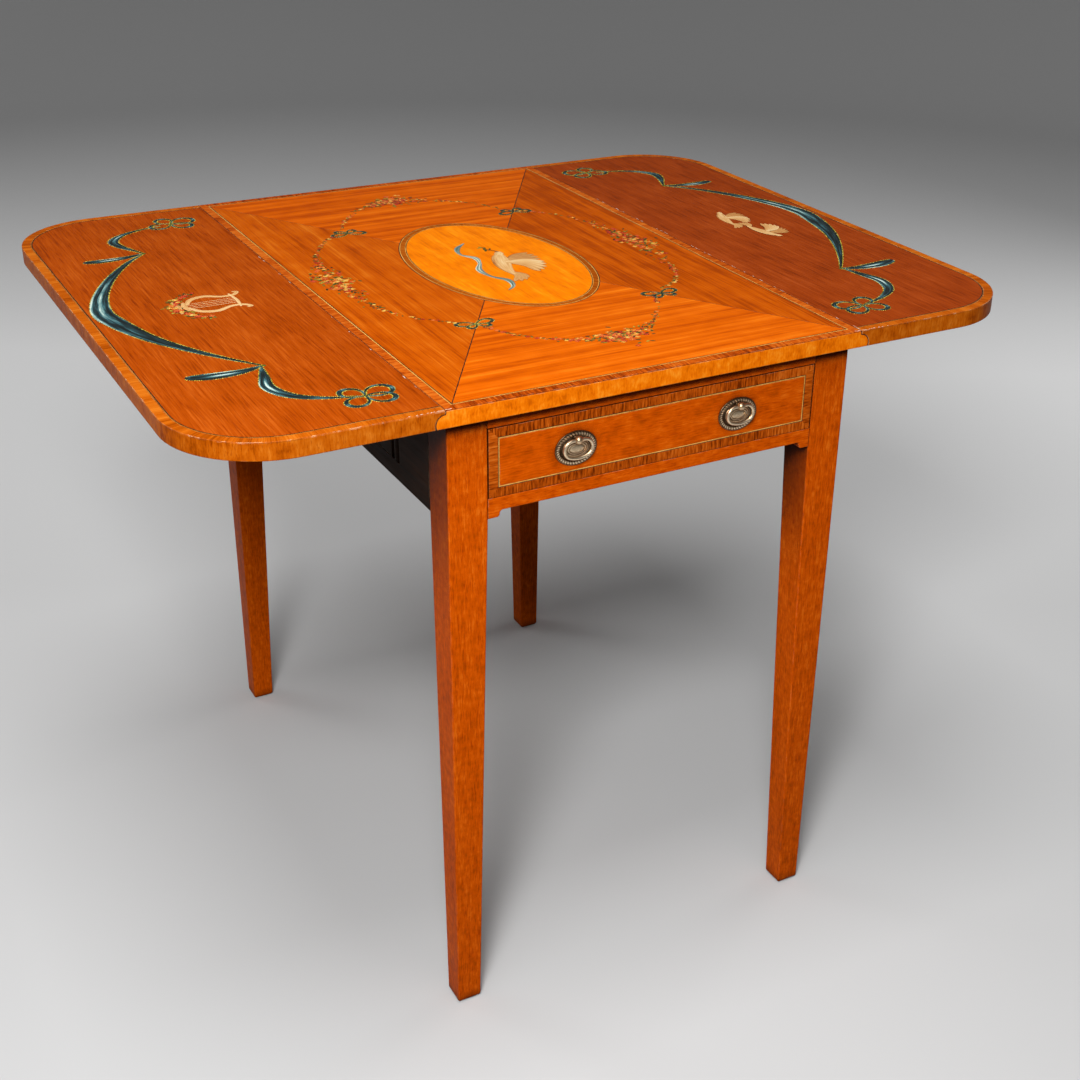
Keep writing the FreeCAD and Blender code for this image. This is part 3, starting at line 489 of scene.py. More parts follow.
# %% Brass, iron and steel
def metal(name, tones, rough, patch_mm, toned):
    """Metal with a blotchy patina: a noise leads its colour and, on worked pieces, each point's own tone."""
    material, tree, shader = new_material(name, Metallic=1.0)
    place = add(tree, "TexCoord").outputs["Object"]
    patch = add(tree, "TexNoise", {"Vector": place, "Scale": 1000 / patch_mm, "Detail": 5.0,
                                   "Roughness": 0.7})
    lead = patch
    if toned:
        tone = add(tree, "Attribute", attribute_name="tone").outputs["Fac"]
        drift = add(tree, "Math MULTIPLY_ADD", (patch, 0.5, -0.25))
        lead = add(tree, "Math ADD", (tone, drift))
    colour = add(tree, "ValToRGB", (lead,), stops=tuple(zip((0.15, 0.42, 0.66, 0.9), tones.split())))
    tree.links.new(colour.outputs[0], shader.inputs["Base Color"])
    gloss = add(tree, "MapRange", (patch, 0.3, 0.7, rough + 0.1, rough - 0.08))
    tree.links.new(gloss.outputs[0], shader.inputs["Roughness"])
    bump = add(tree, "Bump", {"Height": patch, "Strength": 0.25, "Distance": 0.1 * mm})
    tree.links.new(bump.outputs[0], shader.inputs["Normal"])
    return material


brass = metal("aged_brass", "#241a12 #7c6248 #ba9670 #f2dcba", 0.36, 2.5, True)
plain_brass = metal("plain_brass", "#4a3619 #7a5f35 #9a7c4a #bfa26c", 0.45, 3.0, False)
iron = metal("blackened_iron", "#120f0d #1d1916 #2a2521 #3a3430", 0.55, 2.0, False)
steel = metal("drawn_steel", "#4a4846 #6a6866 #7f7d7a #9a9894", 0.35, 2.0, False)

# %% [markdown]
# ## Dress the frame
# Every node of the CAD model keeps its shape and gets its finish. Names say what a piece is, so the
# beginning of a name is enough, and the longest that fits is taken.

# %% Finishes for the CAD nodes
dress = {start: woods[name] for name, starts, *_ in recipes for start in starts.split()}
dress.update(top_hinge=iron, leaf_hinge=iron, fly_pins=steel, hinge_pins=steel)
dress.update(drawer_handle=plain_brass, back_handle=plain_brass, bail_=plain_brass)
for name, node in nodes.items():
    node.material_slots[0].material = dress[max(filter(name.startswith, dress), key=len)]
print("dressed", len(nodes), "nodes")

# %% [markdown]
# ## Legs
# Two hundred years of sweeping and dragging have rounded the feet and softened the long edges. A leg is a
# rounded square that grows with height, on a grid of heights and of points round it. It tapers on its two
# inner faces only, so the square's outer corner stays where the frame's corner is.


# %% Worn legs
def worn_leg(side, end):
    """Leg of width 27 + 15 z / 594 up to 594 mm, then 42, its foot drawn in by 5 - sqrt(25 - (5 - z)^2).

    Each corner is a quarter circle of the edge's radius, with one more point on the flat at either side.
    """
    toe, top, straight_from, foot, edge = 27, 42, 594, 5, 1.3
    quarter = np.linspace(0, np.pi / 2, 7)
    z = np.concatenate([[0], foot * (1 - np.cos(quarter)), np.linspace(8, straight_from, 13),
                        [660, 701, 702, 702]])[:, None]
    width = toe + (top - toe) * np.clip(z / straight_from, 0, 1)
    half = width / 2 - foot + np.sqrt(foot ** 2 - np.clip(foot - z, 0, foot) ** 2)
    half[[0, -1]] = 0
    bend = np.minimum(half, edge)
    turn = (np.arange(4)[:, None] * np.pi / 2 + quarter[[0, 0, 1, 2, 3, 4, 5, 6, 6]]).ravel()
    corner = np.repeat(np.arange(4) * np.pi / 2 + np.pi / 4, 9)
    flat = np.tile([1.0, 0, 0, 0, 0, 0, 0, 0, -1.0], 4)
    cos, sin = np.cos(turn), np.sin(turn)
    x = leg_x - width / 2 + (half - bend) * np.sign(np.cos(corner)) + bend * (cos + flat * sin)
    y = leg_y - width / 2 + (half - bend) * np.sign(np.sin(corner)) + bend * (sin - flat * cos)
    grid = np.stack(np.broadcast_arrays(side * x, end * y, z), axis=-1) * mm
    return grid[:, ::-1] if side * end > 0 else grid


for end, y in ends:
    for hand, x in hands:
        leg = "leg_%s_%s" % (end, hand)
        piece = surface("worn_" + leg, worn_leg(x, y), woods["mahogany_upright"], (False, True))
        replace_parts(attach(piece, "frame"), leg)

# %% [markdown]
# ## Dark lines
# Every pale boxwood line has a dark one beside it, and dark lines mark where the four sheets of veneer
# meet. They are about a millimetre wide, so each is a low strip carried along a path, sunk a little at its
# edges. Strips of the same near-black also lie along each rule joint and, at the ends, round its moulding:
# there they are painted shade, standing for the shadow in the joint's gap.


# %% Strokes along a path
sunk = 0.02  # how far the edges of a strip or a touch go in, in mm


def smooth(points, count):
    """Catmull-Rom curve through rows of points: on each stretch a cubic with slope (next - previous) / 2."""
    p = np.asarray(points, float)
    p = np.vstack([2 * p[0] - p[1], p, 2 * p[-1] - p[-2]])
    t = np.linspace(0, len(p) - 3, count)
    k = np.minimum(t.astype(int), len(p) - 4)
    f = (t - k)[:, None]
    a, b, c, d = p[k], p[k + 1], p[k + 2], p[k + 3]
    cubic = (2 * a - 5 * b + 4 * c - d) * f ** 2 + (3 * b - a - 3 * c + d) * f ** 3
    return 0.5 * (2 * b + (c - a) * f + cubic)


def sides_of(path):
    """Unit vectors to the left of a path, square to its slope."""
    slope = np.gradient(path[:, :2], axis=0)
    slope /= np.linalg.norm(slope, axis=1, keepdims=True) + 1e-9
    return np.stack([-slope[:, 1], slope[:, 0]], axis=1)


def length_along(path):
    """Distance run to each point of a path."""
    return np.concatenate([[0], np.cumsum(np.linalg.norm(np.diff(path[:, :2], axis=0), axis=1))])


def stroke(path, across=7, high=0.08, lift=0.0):
    """Low strip over a path of (x, y, half width): offset by half width times v, raised by high (1 - v * v).

    Gives points in millimetres with the height last, and (length in metres, v from 0 to 1) for each.
    """
    path = np.asarray(path, float)
    v = np.linspace(-1, 1, across)
    flat = path[:, None, :2] + sides_of(path)[:, None] * (path[:, 2, None] * v)[..., None]
    height = np.broadcast_to(high * (1 - v ** 2) - sunk + lift, flat.shape[:2])
    uv = np.stack(np.broadcast_arrays(length_along(path)[:, None] * mm, v * 0.5 + 0.5), axis=-1)
    return np.concatenate([flat, height[..., None]], axis=-1), uv


def on_top(points):
    """Painter's millimetres to the table's top: (x, y, height) to metres above the polished face."""
    return np.asarray(points) * mm + np.array([0, 0, top_z * mm])


def on_end(points, side):
    """The same for an end of the table: (x, z, height) stands out from the front (-1) or the back (1)."""
    x, z, out = np.moveaxis(np.asarray(points) * mm, -1, 0)
    grid = np.stack([x, side * (leg_y * mm + out), z], axis=-1)
    return grid if side < 0 else grid[..., ::-1, :]


def line(points, half, high=0.06, lift=0.0):
    """Strip of an even width over a path of (x, y), with three points across."""
    points = np.asarray(points, float)
    return stroke(np.column_stack([points, np.full(len(points), half)]), 3, high, lift)[0]


def leaf_path(inset):
    """Path round a leaf's free sides, brought in: a straight, a quarter circle, and so on to the end."""
    far, end, bend = half_open - inset, half_long - inset, leaf_round - inset
    q = np.linspace(0, np.pi / 2, 24)
    first = np.column_stack([far - bend + bend * np.sin(q), -end + bend - bend * np.cos(q)])
    joint = joint_x + joint_gap
    return np.vstack([[(joint, -end)], first, first[::-1] * (1, -1), [(joint, end)]])


def box_path(half_x, half_y, middle=0.0):
    """Rectangle from the middle of one side and back to it, each corner doubled so that it stays sharp."""
    x = np.array([0, 0.999, 1, 1, 0.999, -0.999, -1, -1, -0.999, 0]) * half_x
    y = np.array([-1, -1, -0.999, 0.999, 1, 1, 0.999, -0.999, -1, -1]) * half_y
    return np.column_stack([x, y + middle])


def oval_path(inset):
    """Ellipse x = a cos t, y = b sin t, brought in."""
    t = np.linspace(0, 2 * np.pi, 145)
    return np.column_stack([(oval_x - inset) * np.cos(t), (oval_y - inset) * np.sin(t)])


# %% Lay the lines
# ebonised wood is all but black, with a little brown where the stain is thin; the same material is the
# painted shade in the rule joints
ebony_and_gap_shade, tree, shader = new_material("ebonised_line_and_gap_shade", Roughness=0.45, Specular_IOR_Level=0.3)
patch = add(tree, "TexNoise", {"Vector": add(tree, "TexCoord").outputs["Object"], "Scale": 300.0})
shade = add(tree, "ValToRGB", (patch,), stops=((0.3, "#0e0704"), (0.7, "#2a170b")))
tree.links.new(shade.outputs[0], shader.inputs["Base Color"])

for side, sign in hands:
    grid = line(leaf_path(inlay) * (sign, 1), 0.8)
    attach(surface("dark_line_" + side, on_top(grid), ebony_and_gap_shade), side + "_leaf")
grid = line(box_path(field_x - 0.1, field_y - 0.1), 0.7)
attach(surface("dark_line_top", on_top(grid), ebony_and_gap_shade), "frame")
reach = 1 / np.hypot(field_x / oval_x, field_y / oval_y)
seams = [line(np.outer((1, reach), (sx * field_x, sy * field_y)), half)
         for sx, sy, half in ((-1, -1, 0.75), (1, 1, 0.75), (1, -1, 0.4), (-1, 1, 0.3))]
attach(surface("dark_line_seams", on_top(seams), ebony_and_gap_shade), "frame")
for name, body, side in (("drawer", "drawer", -1), ("back", "frame", 1)):
    grid = line(box_path(face_x - 10, face_z - 10.05, face_middle), 0.45)
    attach(surface("dark_line_" + name, on_end(grid, side), ebony_and_gap_shade), body)

# %% Lay painted shade in the gaps of the rule joints
fillet_x, ovolo_z, ovolo_r, proud = joint_x - 0.5, top_z - 14, 9.6, half_long - leg_y
bend = np.linspace(np.pi / 2, -np.arcsin(0.4), 16)
ovolo = np.column_stack([joint_x + ovolo_r * np.cos(bend), ovolo_z + ovolo_r * np.sin(bend)])
joint = np.vstack([[(fillet_x, top_z), (fillet_x, top_z - 3)], ovolo])
# dark strips standing for the shadow in the joint's gap: painted shade
for end, side in ends:
    grid = [line(joint[::sign] * (sign, 1), 0.5, lift=proud) for _, sign in hands]
    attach(surface("joint_gap_painted_shade_" + end, on_end(grid, side), ebony_and_gap_shade), "frame")
grid = [line([(x, 0.5 - half_long), (x, half_long - 0.5)], 0.4, 0.04) for x in (-fillet_x, fillet_x)]
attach(surface("joint_gap_painted_shade_top", on_top(grid), ebony_and_gap_shade), "frame")

# %% Lay the rings of the oval
rings = (("oval_dark", ebony_and_gap_shade, ((0.35, 0.75), (8.7, 0.6))),
         ("oval_pale", woods["boxwood_line"], ((1.4, 0.4), (7.75, 0.4))),
         ("oval_banding", woods["tulipwood_round_oval"], ((4.6, 2.85),)),
         ("oval_margin", woods["satinwood_mottled"], ((9.9, 0.7),)))
for name, material, places in rings:
    grid = [line(oval_path(inset), half) for inset, half in places]
    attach(surface(name, on_top(grid), material), "frame")

# %% [markdown]
# ## Painted ribbons
# Each leaf carries a blue-green ribbon that hangs in swags between two bows, painted in oils over the
# polish. A ribbon is a stroke whose half width changes along its path. A brush leaves streaks along the
# stroke, so its shade is worked out from where a point lies on it, and broken by a noise that is drawn out
# the same way.


# %% Paint finishes
def oil_paint(name, tones, streaky=True):
    """Oil paint: each point's tone picks the colour, broken by streaks along the stroke or else by specks."""
    material, tree, shader = new_material(name, Roughness=0.5, Specular_IOR_Level=0.3)
    lead = add(tree, "Attribute", attribute_name="tone").outputs["Fac"]
    if streaky:
        # streaks some 30 mm long, seven to a ribbon's width
        drawn = add(tree, "Mapping", {"Vector": add(tree, "UVMap", uv_map="stroke"), "Scale": (30, 7, 1)})
        brush = add(tree, "TexNoise", {"Vector": drawn, "Scale": 1.0, "Detail": 3.0, "Roughness": 0.6})
    else:
        # specks of about a millimetre
        place = add(tree, "TexCoord").outputs["Object"]
        brush = add(tree, "TexNoise", {"Vector": place, "Scale": 900.0, "Detail": 2.0})
    push = add(tree, "Math MULTIPLY_ADD", (brush, 1.3, -0.65))
    lead = add(tree, "Math ADD", (lead, push))
    tones = tones.split()
    stops = tuple(zip(np.linspace(0.02, 0.98, len(tones)).tolist(), tones))
    colour = add(tree, "ValToRGB", (lead,), stops=stops)
    tree.links.new(colour.outputs[0], shader.inputs["Base Color"])
    bump = add(tree, "Bump", {"Height": brush, "Strength": 0.3, "Distance": 0.12 * mm})
    tree.links.new(bump.outputs[0], shader.inputs["Normal"])
    return material


ribbon_paint = oil_paint("ribbon_blue_oil", "#0a0f0e #131c1c #1f3437 #3a666e #84a8a4 #d0e2d8")
bow_paint = oil_paint("bow_green_oil", "#0c100c #1a211a #2c382f #4a5c50 #7c8c78 #c2c8a8")
flutter_paint = oil_paint("ribbon_grey_blue_oil", "#12181a #2c3a3c #4a605e #748a82 #a4b4a4 #d6dcc8")
cream_paint = oil_paint("cream_oil", "#5a2c10 #a05f2c #cc9050 #e0ac6c #ecc48a #f6deb2")
leaf_paint = oil_paint("leaf_green_oil", "#16180a #2c3014 #484a1a #6e661e #9a8426 #c4a83a", False)
petal_paint = oil_paint("petal_oil", "#7a140a #b62a18 #d2502a #dc7a2c #deaa30 #ecd07c", False)
edge_paint = oil_paint("yellow_edge_oil", "#3c4416 #6c6c1c #9c9226 #c4b235 #dccb58", False)


# %% Ribbons and their dotted edges
def ribbon_tone(path, across=7):
    """Shade over a ribbon: streaks where a wave over the width peaks come and go along it, on a dark ground.

    The streak is 0.5 + 0.5 cos(2 pi (0.9 (v - 0.35) + 0.25 sin 4 t)), squared. It is strongest two fifths
    of the way along and shows again near the end. One edge is teal, and a narrow ribbon is lit in patches.
    """
    v = np.linspace(-1, 1, across)
    t = np.linspace(0, 1, len(path))[:, None]
    wide = np.clip((path[:, 2, None] - 1.5) / 4.0, 0, 1)
    streak = (0.5 + 0.5 * np.cos(2 * np.pi * (0.9 * (v - 0.35) + 0.25 * np.sin(4 * t)))) ** 2
    gleam = streak * (np.exp(-((t - 0.4) / 0.2) ** 2) + 0.4 * np.exp(-((t - 0.9) / 0.12) ** 2))
    patch = np.sin(9 * t + 1) ** 6 * (1 - 0.5 * v ** 2)
    return 0.2 + 0.2 * np.exp(-((v + 0.8) / 0.4) ** 2) + 0.9 * wide * gleam + (1 - wide) * 0.4 * patch


def domes(centres, sizes, high=0.2):
    """Small round touches of paint: six points round at radius s and 0.65 s, each ring higher, and a top."""
    ring = np.array([1.0, 0.65, 0.0])[:, None] * np.asarray(sizes)[:, None, None]
    turn = -round_angles(6)
    x = centres[:, 0, None, None] + ring * np.cos(turn)
    y = centres[:, 1, None, None] + ring * np.sin(turn)
    z = np.broadcast_to(np.array([-0.1, 0.7, 1.0])[:, None] * high, x.shape)
    return np.stack([x, y, z], axis=-1)


def edge_dots(path, gap, size):
    """Domes along both edges of a ribbon, one every gap millimetres."""
    run = length_along(path)
    at = np.arange(gap / 2, run[-1], gap)
    here = np.stack([np.interp(at, run, path[:, i]) for i in range(3)], axis=1)
    side = np.stack([np.interp(at, run, sides_of(path)[:, i]) for i in range(2)], axis=1)
    centres = np.concatenate([here[:, :2] + side * here[:, 2:], here[:, :2] - side * here[:, 2:]])
    return domes(centres, np.full(len(centres), size))


def bow_loops(centre, reaches, turns, spread, half):
    """Loops of a bow: radius reach * sin(pi t)^0.6, while the angle swings by spread about each turn."""
    t = np.linspace(0, 1, 41)
    loops = []
    for turn, reach in zip(np.radians(turns), reaches):
        angle = turn + np.radians(spread) * (t - 0.5)
        radius = reach * np.sin(np.pi * t) ** 0.6
        loops.append(np.column_stack([centre[0] + radius * np.cos(angle), centre[1] + radius * np.sin(angle),
                                      half * (0.6 + 0.6 * np.sin(np.pi * t) ** 2)]))
    return loops


def many(strokes, lift=0.0):
    """Strokes with as many points each as one set of grids, every stroke a hair above the one before."""
    made = [stroke(path, lift=lift + 0.012 * i) for i, path in enumerate(strokes)]
    return on_top([grid for grid, _ in made]), np.array([uv for _, uv in made])


swags = (
    [(-303, 303, 1.2), (-330, 297, 2.4), (-356, 283, 4.6), (-371, 262, 6.6), (-368, 240, 5.2),
     (-359, 220, 2.8), (-351, 203, 1.2)],
    [(-350, 203, 1.6), (-374, 196, 5.0), (-400, 194, 6.6), (-416, 196, 5.4), (-421, 198, 2.4)],
    [(-352, 202, 1.2), (-378, 174, 3.4), (-408, 128, 5.8), (-433, 72, 8.6), (-444, 22, 11.2),
     (-438, -18, 11.4), (-422, -70, 8.4), (-399, -116, 5.4), (-372, -158, 3.0), (-346, -193, 1.2)],
    [(-345, -194, 1.6), (-368, -200, 6.0), (-395, -200, 8.4), (-414, -196, 6.6), (-421, -193, 2.8)],
    [(-348, -196, 1.4), (-354, -222, 5.0), (-359, -250, 7.0), (-347, -278, 5.8), (-322, -296, 3.2),
     (-293, -306, 1.4)],
)
far_bow, near_bow = (-290, 306), (-287, -308)
knots = np.array([(-351, 203), (-345, -194), far_bow, near_bow], float)
bows = bow_loops(far_bow, (31, 25, 27, 27), (22, 110, 200, 318), 104, 2.3)
bows += bow_loops(near_bow, (31, 26, 27, 28), (24, 130, 222, 326), 104, 2.3)
for side, sign in hands:
    paths = [path * (-sign, 1, 1) for path in [smooth(points, 41) for points in swags] + bows]
    grid, uv = many(paths)
    tone = np.array([ribbon_tone(path) for path in paths])
    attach(surface("ribbon_" + side, grid, ribbon_paint, uv=uv, tone=tone), side + "_leaf")
    dots = [edge_dots(path, 2.0, 0.85) for path in paths] + [domes(knots * (-sign, 1), np.full(4, 2.8), 0.4)]
    dots = np.concatenate(dots)
    shade = np.random.default_rng(7).uniform(0.0, 1.0, (len(dots), 1, 1))
    shade[-4:] = 0.1
    piece = surface("ribbon_edge_" + side, on_top(dots), edge_paint, (False, True), tone=shade)
    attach(piece, side + "_leaf")

# %% [markdown]
# ## Worn joints
# A rule joint is where such a table suffers. Each time a leaf drops its edge rubs past the fixed top, and
# polish breaks away to the pale ground, most of all at the drawer end. A chip is a small pointed touch that
# lies on one side of the joint, so that nothing crosses it when the leaf swings.


# %% Touches of colour, and chips beside the rule joints
def touches(places, headings, lengths, widths, high=0.12):
    """Pointed touches: at share s of its length a touch is width * sin(pi (0.06 + 0.88 s)) to either side.

    It is highest along its middle, and each lies a hair above the one before, nine deep.
    """
    s = np.linspace(0, 1, 5)
    v = np.linspace(-1, 1, 3)
    along = lengths[:, None, None] * np.broadcast_to(s[:, None], (5, 3))
    aside = widths[:, None, None] * (np.sin(np.pi * (0.06 + 0.88 * s))[:, None] * v)
    cos, sin = np.cos(headings)[:, None, None], np.sin(headings)[:, None, None]
    x = places[:, 0, None, None] + along * cos - aside * sin
    y = places[:, 1, None, None] + along * sin + aside * cos
    layer = 0.01 * (np.arange(len(places)) % 9)[:, None, None]
    z = np.broadcast_to(high * (1 - v ** 2) - sunk, x.shape) + layer
    return np.stack([x, y, z], axis=-1)


# gesso is chalky: pale, with the wood's brown in its thin places
gesso = oil_paint("chipped_gesso", "#b08058 #d4b496 #e8d4c2 #f2e6dc", False)
rng = np.random.default_rng(3)
for side, sign in hands:
    for body, steps, way in ((side + "_leaf", (0.4, 2.5, 4.5, 9, 12, 15, 21, 26, 33), sign),
                             ("frame", (-1.0, -2.2, -4.0, -5.5), -sign)):
        x = sign * (joint_x + joint_gap + np.array(steps, float))
        count = len(x)
        y = 0.8 - half_long + rng.uniform(0, 0.5, count)
        y = y + 1.5 * (np.abs(x) < joint_x + 3.5) * rng.uniform(0, 1, count)
        heading = np.arccos(way) + rng.uniform(-0.1, 0.1, count)
        grid = touches(np.column_stack([x, y]), heading, rng.uniform(1.5, 3.2, count),
                       rng.uniform(0.35, 0.6, count), 0.1)
        if body != "frame":
            count = {"left": 10, "right": 34}[side]
            places = np.column_stack([np.full(count, sign * (joint_x + 1.1)), rng.uniform(-368, 200, count)])
            flecks = touches(places, np.full(count, np.pi / 2), rng.uniform(2, 8, count),
                             rng.uniform(0.2, 0.4, count), 0.08)
            grid = np.concatenate([grid, flecks])
        shade = rng.uniform(0.3, 1.0, (len(grid), 1, 1))
        name = "joint_chips_%s_%s" % (side, body.split("_")[-1])
        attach(surface(name, on_top(grid), gesso, tone=shade), body)

# %% [markdown]
# ## Painted garlands
# A string of small leaves and flowers runs round the oval, tied by a bow on each diagonal and gathered into
# a bunch of roses in the middle of each side. Hundreds of brush touches make it up. Every touch is the same
# small patch of paint, turned and sized by arrays of angles and lengths.


# %% Flowers
def blossoms(flowers, rng, petals=6):
    """Flowers of (x, y, size, shade): a ring of touches that point outwards, then a smaller ring inside."""
    rings, tones = [], []
    for inner, light in ((1.0, 0.0), (0.55, 0.16)):
        heading = (round_angles(petals) + flowers[:, 3:] * 6 + inner).ravel()
        places = np.repeat(flowers[:, :2], petals, axis=0)
        size = np.repeat(flowers[:, 2], petals) * inner
        rings.append(touches(places, heading, size, size * 0.5, 0.3 - 0.15 * inner))
        tones.append(np.repeat(flowers[:, 3], petals) * 0.8 + light + rng.uniform(-0.1, 0.1, len(size)))
    return on_top(np.concatenate(rings)), np.concatenate(tones)[:, None, None]


# %% Leaves, flowers and bows of the garland
rng = np.random.default_rng(11)
runs = (
    ((-117, 182), (-150, 156), (-178, 105), (-193, 40), (-190, -20), (-181, -95), (-156, -140), (-117, -174)),
    ((-114, -176), (-92, -222), (-58, -256), (-15, -275), (20, -274), (56, -252), (90, -206), (106, -168)),
    ((108, -165), (146, -150), (173, -104), (184, -30), (184, 36), (170, 112), (140, 160), (110, 182)),
    ((106, 186), (84, 232), (50, 262), (8, 284), (-24, 284), (-60, 268), (-96, 226), (-116, 188)),
)
leaves, flowers = [], []
bunch, beads, sprigs, fine = 70, 46, 210, 400
for points in runs:
    path = smooth(points, fine)
    out = sides_of(path)
    t = np.concatenate([np.clip(rng.normal(0.5, 0.085, bunch), 0.2, 0.8), rng.uniform(0.04, 0.96, beads)])
    fat = np.exp(-((t - 0.5) / 0.13) ** 2)
    at = (t * (fine - 1)).astype(int)
    place = path[at] + out[at] * (rng.normal(0, 1, len(t)) * (1.1 + 8.5 * fat))[:, None]
    size = rng.uniform(1.8, 2.9, len(t)) + rng.uniform(0.4, 1.6, len(t)) * fat
    flowers.append(np.column_stack([place, size, rng.uniform(0.0, 1.0, len(t))]))
    t = np.concatenate([rng.uniform(0.03, 0.97, sprigs // 2),
                        np.clip(rng.normal(0.5, 0.12, sprigs // 2), 0.1, 0.9)])
    fat = np.exp(-((t - 0.5) / 0.15) ** 2)
    at = (t * (fine - 1)).astype(int)
    place = path[at] + out[at] * (rng.normal(0, 1, sprigs) * (0.9 + 9.5 * fat))[:, None]
    lean = rng.choice([-1, 1], sprigs) * rng.uniform(0.1, 1.1, sprigs)
    heading = np.arctan2(-out[at, 0], out[at, 1]) + lean
    leaves.append(np.column_stack([place, heading, 3.6 + 2.4 * fat, 1.0 + 0.5 * fat]))
leaves, flowers = np.vstack(leaves), np.vstack(flowers)
grid = touches(leaves[:, :2], leaves[:, 2], leaves[:, 3], leaves[:, 4])
shade = rng.uniform(0.05, 0.85, (len(leaves), 1, 1))
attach(surface("garland_leaves", on_top(grid), leaf_paint, tone=shade), "frame")
grid, shade = blossoms(flowers, rng, 4)
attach(surface("garland_flowers", grid, petal_paint, tone=shade), "frame")
ties = []
for sx, sy in ((-1, -1), (-1, 1), (1, -1), (1, 1)):
    ties += bow_loops((sx * 112, sy * 178), (21, 21, 15, 15), np.array((16, 164, -40, -140)) * -sy, 74, 1.9)
grid, uv = many(ties, 0.05)
tone = np.array([ribbon_tone(path) for path in ties])
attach(surface("garland_bows", grid, bow_paint, uv=uv, tone=tone), "frame")
dots = np.concatenate([edge_dots(path, 2.2, 0.75) for path in ties])
shade = rng.uniform(0, 1, (len(dots), 1, 1))
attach(surface("garland_bow_edges", on_top(dots), edge_paint, (False, True), tone=shade), "frame")

# %% [markdown]
# ## Painted doves and lyre
# A dove over a fluttering ribbon fills the oval, a pair of doves the right leaf, and a lyre with flowers
# the left. All are stock motifs of painted furniture. Each is a handful of strokes, drawn as seen from the
# left side of the table and then turned to lie on it.


# %% Doves and ribbon
def lay(strokes, centre, size=1.0, flip=1):
    """Picture (right, up, half width) to the table: up lies along +X and right along -Y."""
    return [np.column_stack([centre[0] + size * path[:, 1], centre[1] - size * flip * path[:, 0],
                             size * path[:, 2]]) for path in strokes]


def fan(root, tips, half):
    """Feathers from one root to several tips, each bowed by 0.12 of its length and widest at its middle."""
    root, made = np.array(root, float), []
    for tip in np.array(tips, float):
        middle = (root + tip) / 2 + np.array([root[1] - tip[1], tip[0] - root[0]]) * 0.12
        late = middle * 0.3 + tip * 0.7
        made.append(smooth([(*root, half * 0.5), (*middle, half), (*late, half * 0.9), (*tip, 0.3)], 31))
    return made


def paint(name, strokes, tones, body, lift=0.06):
    """Strokes of cream paint as one piece, each darker on one side by 0.3 v * v."""
    grid, uv = many(strokes, lift)
    shade = np.reshape(tones, (-1, 1, 1)) - 0.3 * np.clip(np.linspace(-1, 1, 7), 0, 1) ** 2
    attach(surface(name, grid, cream_paint, uv=uv, tone=shade), body)


dove = fan((-6, 12), ((-22, 50), (-12, 54), (-2, 55), (8, 53)), 4.2)
dove += fan((40, -3), ((74, -16), (76, -8), (74, 0), (68, 6)), 3.4)
dove += [smooth([(50, -5, 2.5), (24, -3, 8), (2, 2, 11), (-18, 8, 9.5), (-31, 14, 5)], 31)]
dove += [smooth([(-27, 12, 4.5), (-33, 15, 6), (-39, 17, 4), (-41, 17, 1)], 31)]
dove += fan((0, 8), ((52, 30), (48, 38), (40, 45), (30, 50), (20, 52)), 5.0)
dove_tones = np.concatenate([np.full(4, 0.42), np.full(4, 0.5), [0.66, 0.74], np.linspace(0.55, 0.8, 5)])
twig = [smooth([(-40, 17, 1.6), (-44, 16, 1.2), (-48, 14.5, 0.2)], 31),
        smooth([(-47, 14, 0.5), (-56, 8, 0.5), (-66, 7, 0.4)], 31)]
flutter = smooth([(-92, -6, 1), (-74, -24, 3.6), (-50, -30, 2), (-30, -20, 4), (-8, -24, 2.4), (16, -36, 4.2),
                  (44, -34, 2.2), (66, -22, 4), (88, -26, 2.6), (100, -38, 0.8)], 81)
heart, oval_size, leaf_size = (2, -4), 0.92, 0.6
grid, uv = many(lay([flutter], heart, oval_size), 0.04)
tone = ribbon_tone(flutter * (1, 1, 2.0)) + 0.25
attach(surface("oval_ribbon", grid, flutter_paint, uv=uv, tone=tone), "frame")
paint("oval_dove", lay(dove, heart, oval_size), dove_tones, "frame")
paint("oval_twig", lay(twig, heart, oval_size), [0.25, 0.1], "frame", lift=0.3)
buds = np.array([(-52, 11), (-55, 8.5), (-58, 8), (-61, 7.5), (-64, 7), (-66, 7)]) * oval_size
place = np.column_stack([heart[0] + buds[:, 1], heart[1] - buds[:, 0]])
grid = touches(place, np.radians((60, 230, 75, 250, 110, 190)), np.full(6, 7.0), np.full(6, 1.7))
tone = np.linspace(0.2, 0.8, 6)[:, None, None]
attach(surface("oval_sprig", on_top(grid), leaf_paint, tone=tone), "frame")
pair = lay(dove, (336, 38), leaf_size) + lay(dove, (348, -34), leaf_size, -1)
paint("leaf_doves", pair, np.tile(dove_tones, 2), "right_leaf")

# %% Lyre and its flowers
arm = smooth([(5, -27, 2.2), (20, -18, 3.2), (25, -2, 3.4), (17, 14, 2.8), (17, 27, 2.6), (25, 34, 2.2),
              (27, 29, 1.0)], 41)
yoke = smooth([(-22, 24, 1.2), (0, 26, 1.9), (22, 24, 1.2)], 41)
sill = smooth([(-14, -28, 1.6), (0, -30, 3.4), (14, -28, 1.6)], 41)
foot = smooth([(-20, -38, 1.4), (0, -36, 2.8), (20, -38, 1.4)], 41)
strings = [smooth([(x, -27, 0.4), (x, 0, 0.45), (x, 25, 0.4)], 41) for x in (-7.5, -2.5, 2.5, 7.5)]
seat, blooms = (-333, 2), 30
paint("leaf_lyre_strings", lay(strings, seat), [0.75, 0.8, 0.75, 0.8], "left_leaf", lift=0.02)
lyre = [arm, arm * (-1, 1, 1), sill, foot, yoke]
paint("leaf_lyre", lay(lyre, seat), [0.7, 0.62, 0.6, 0.55, 0.78], "left_leaf")
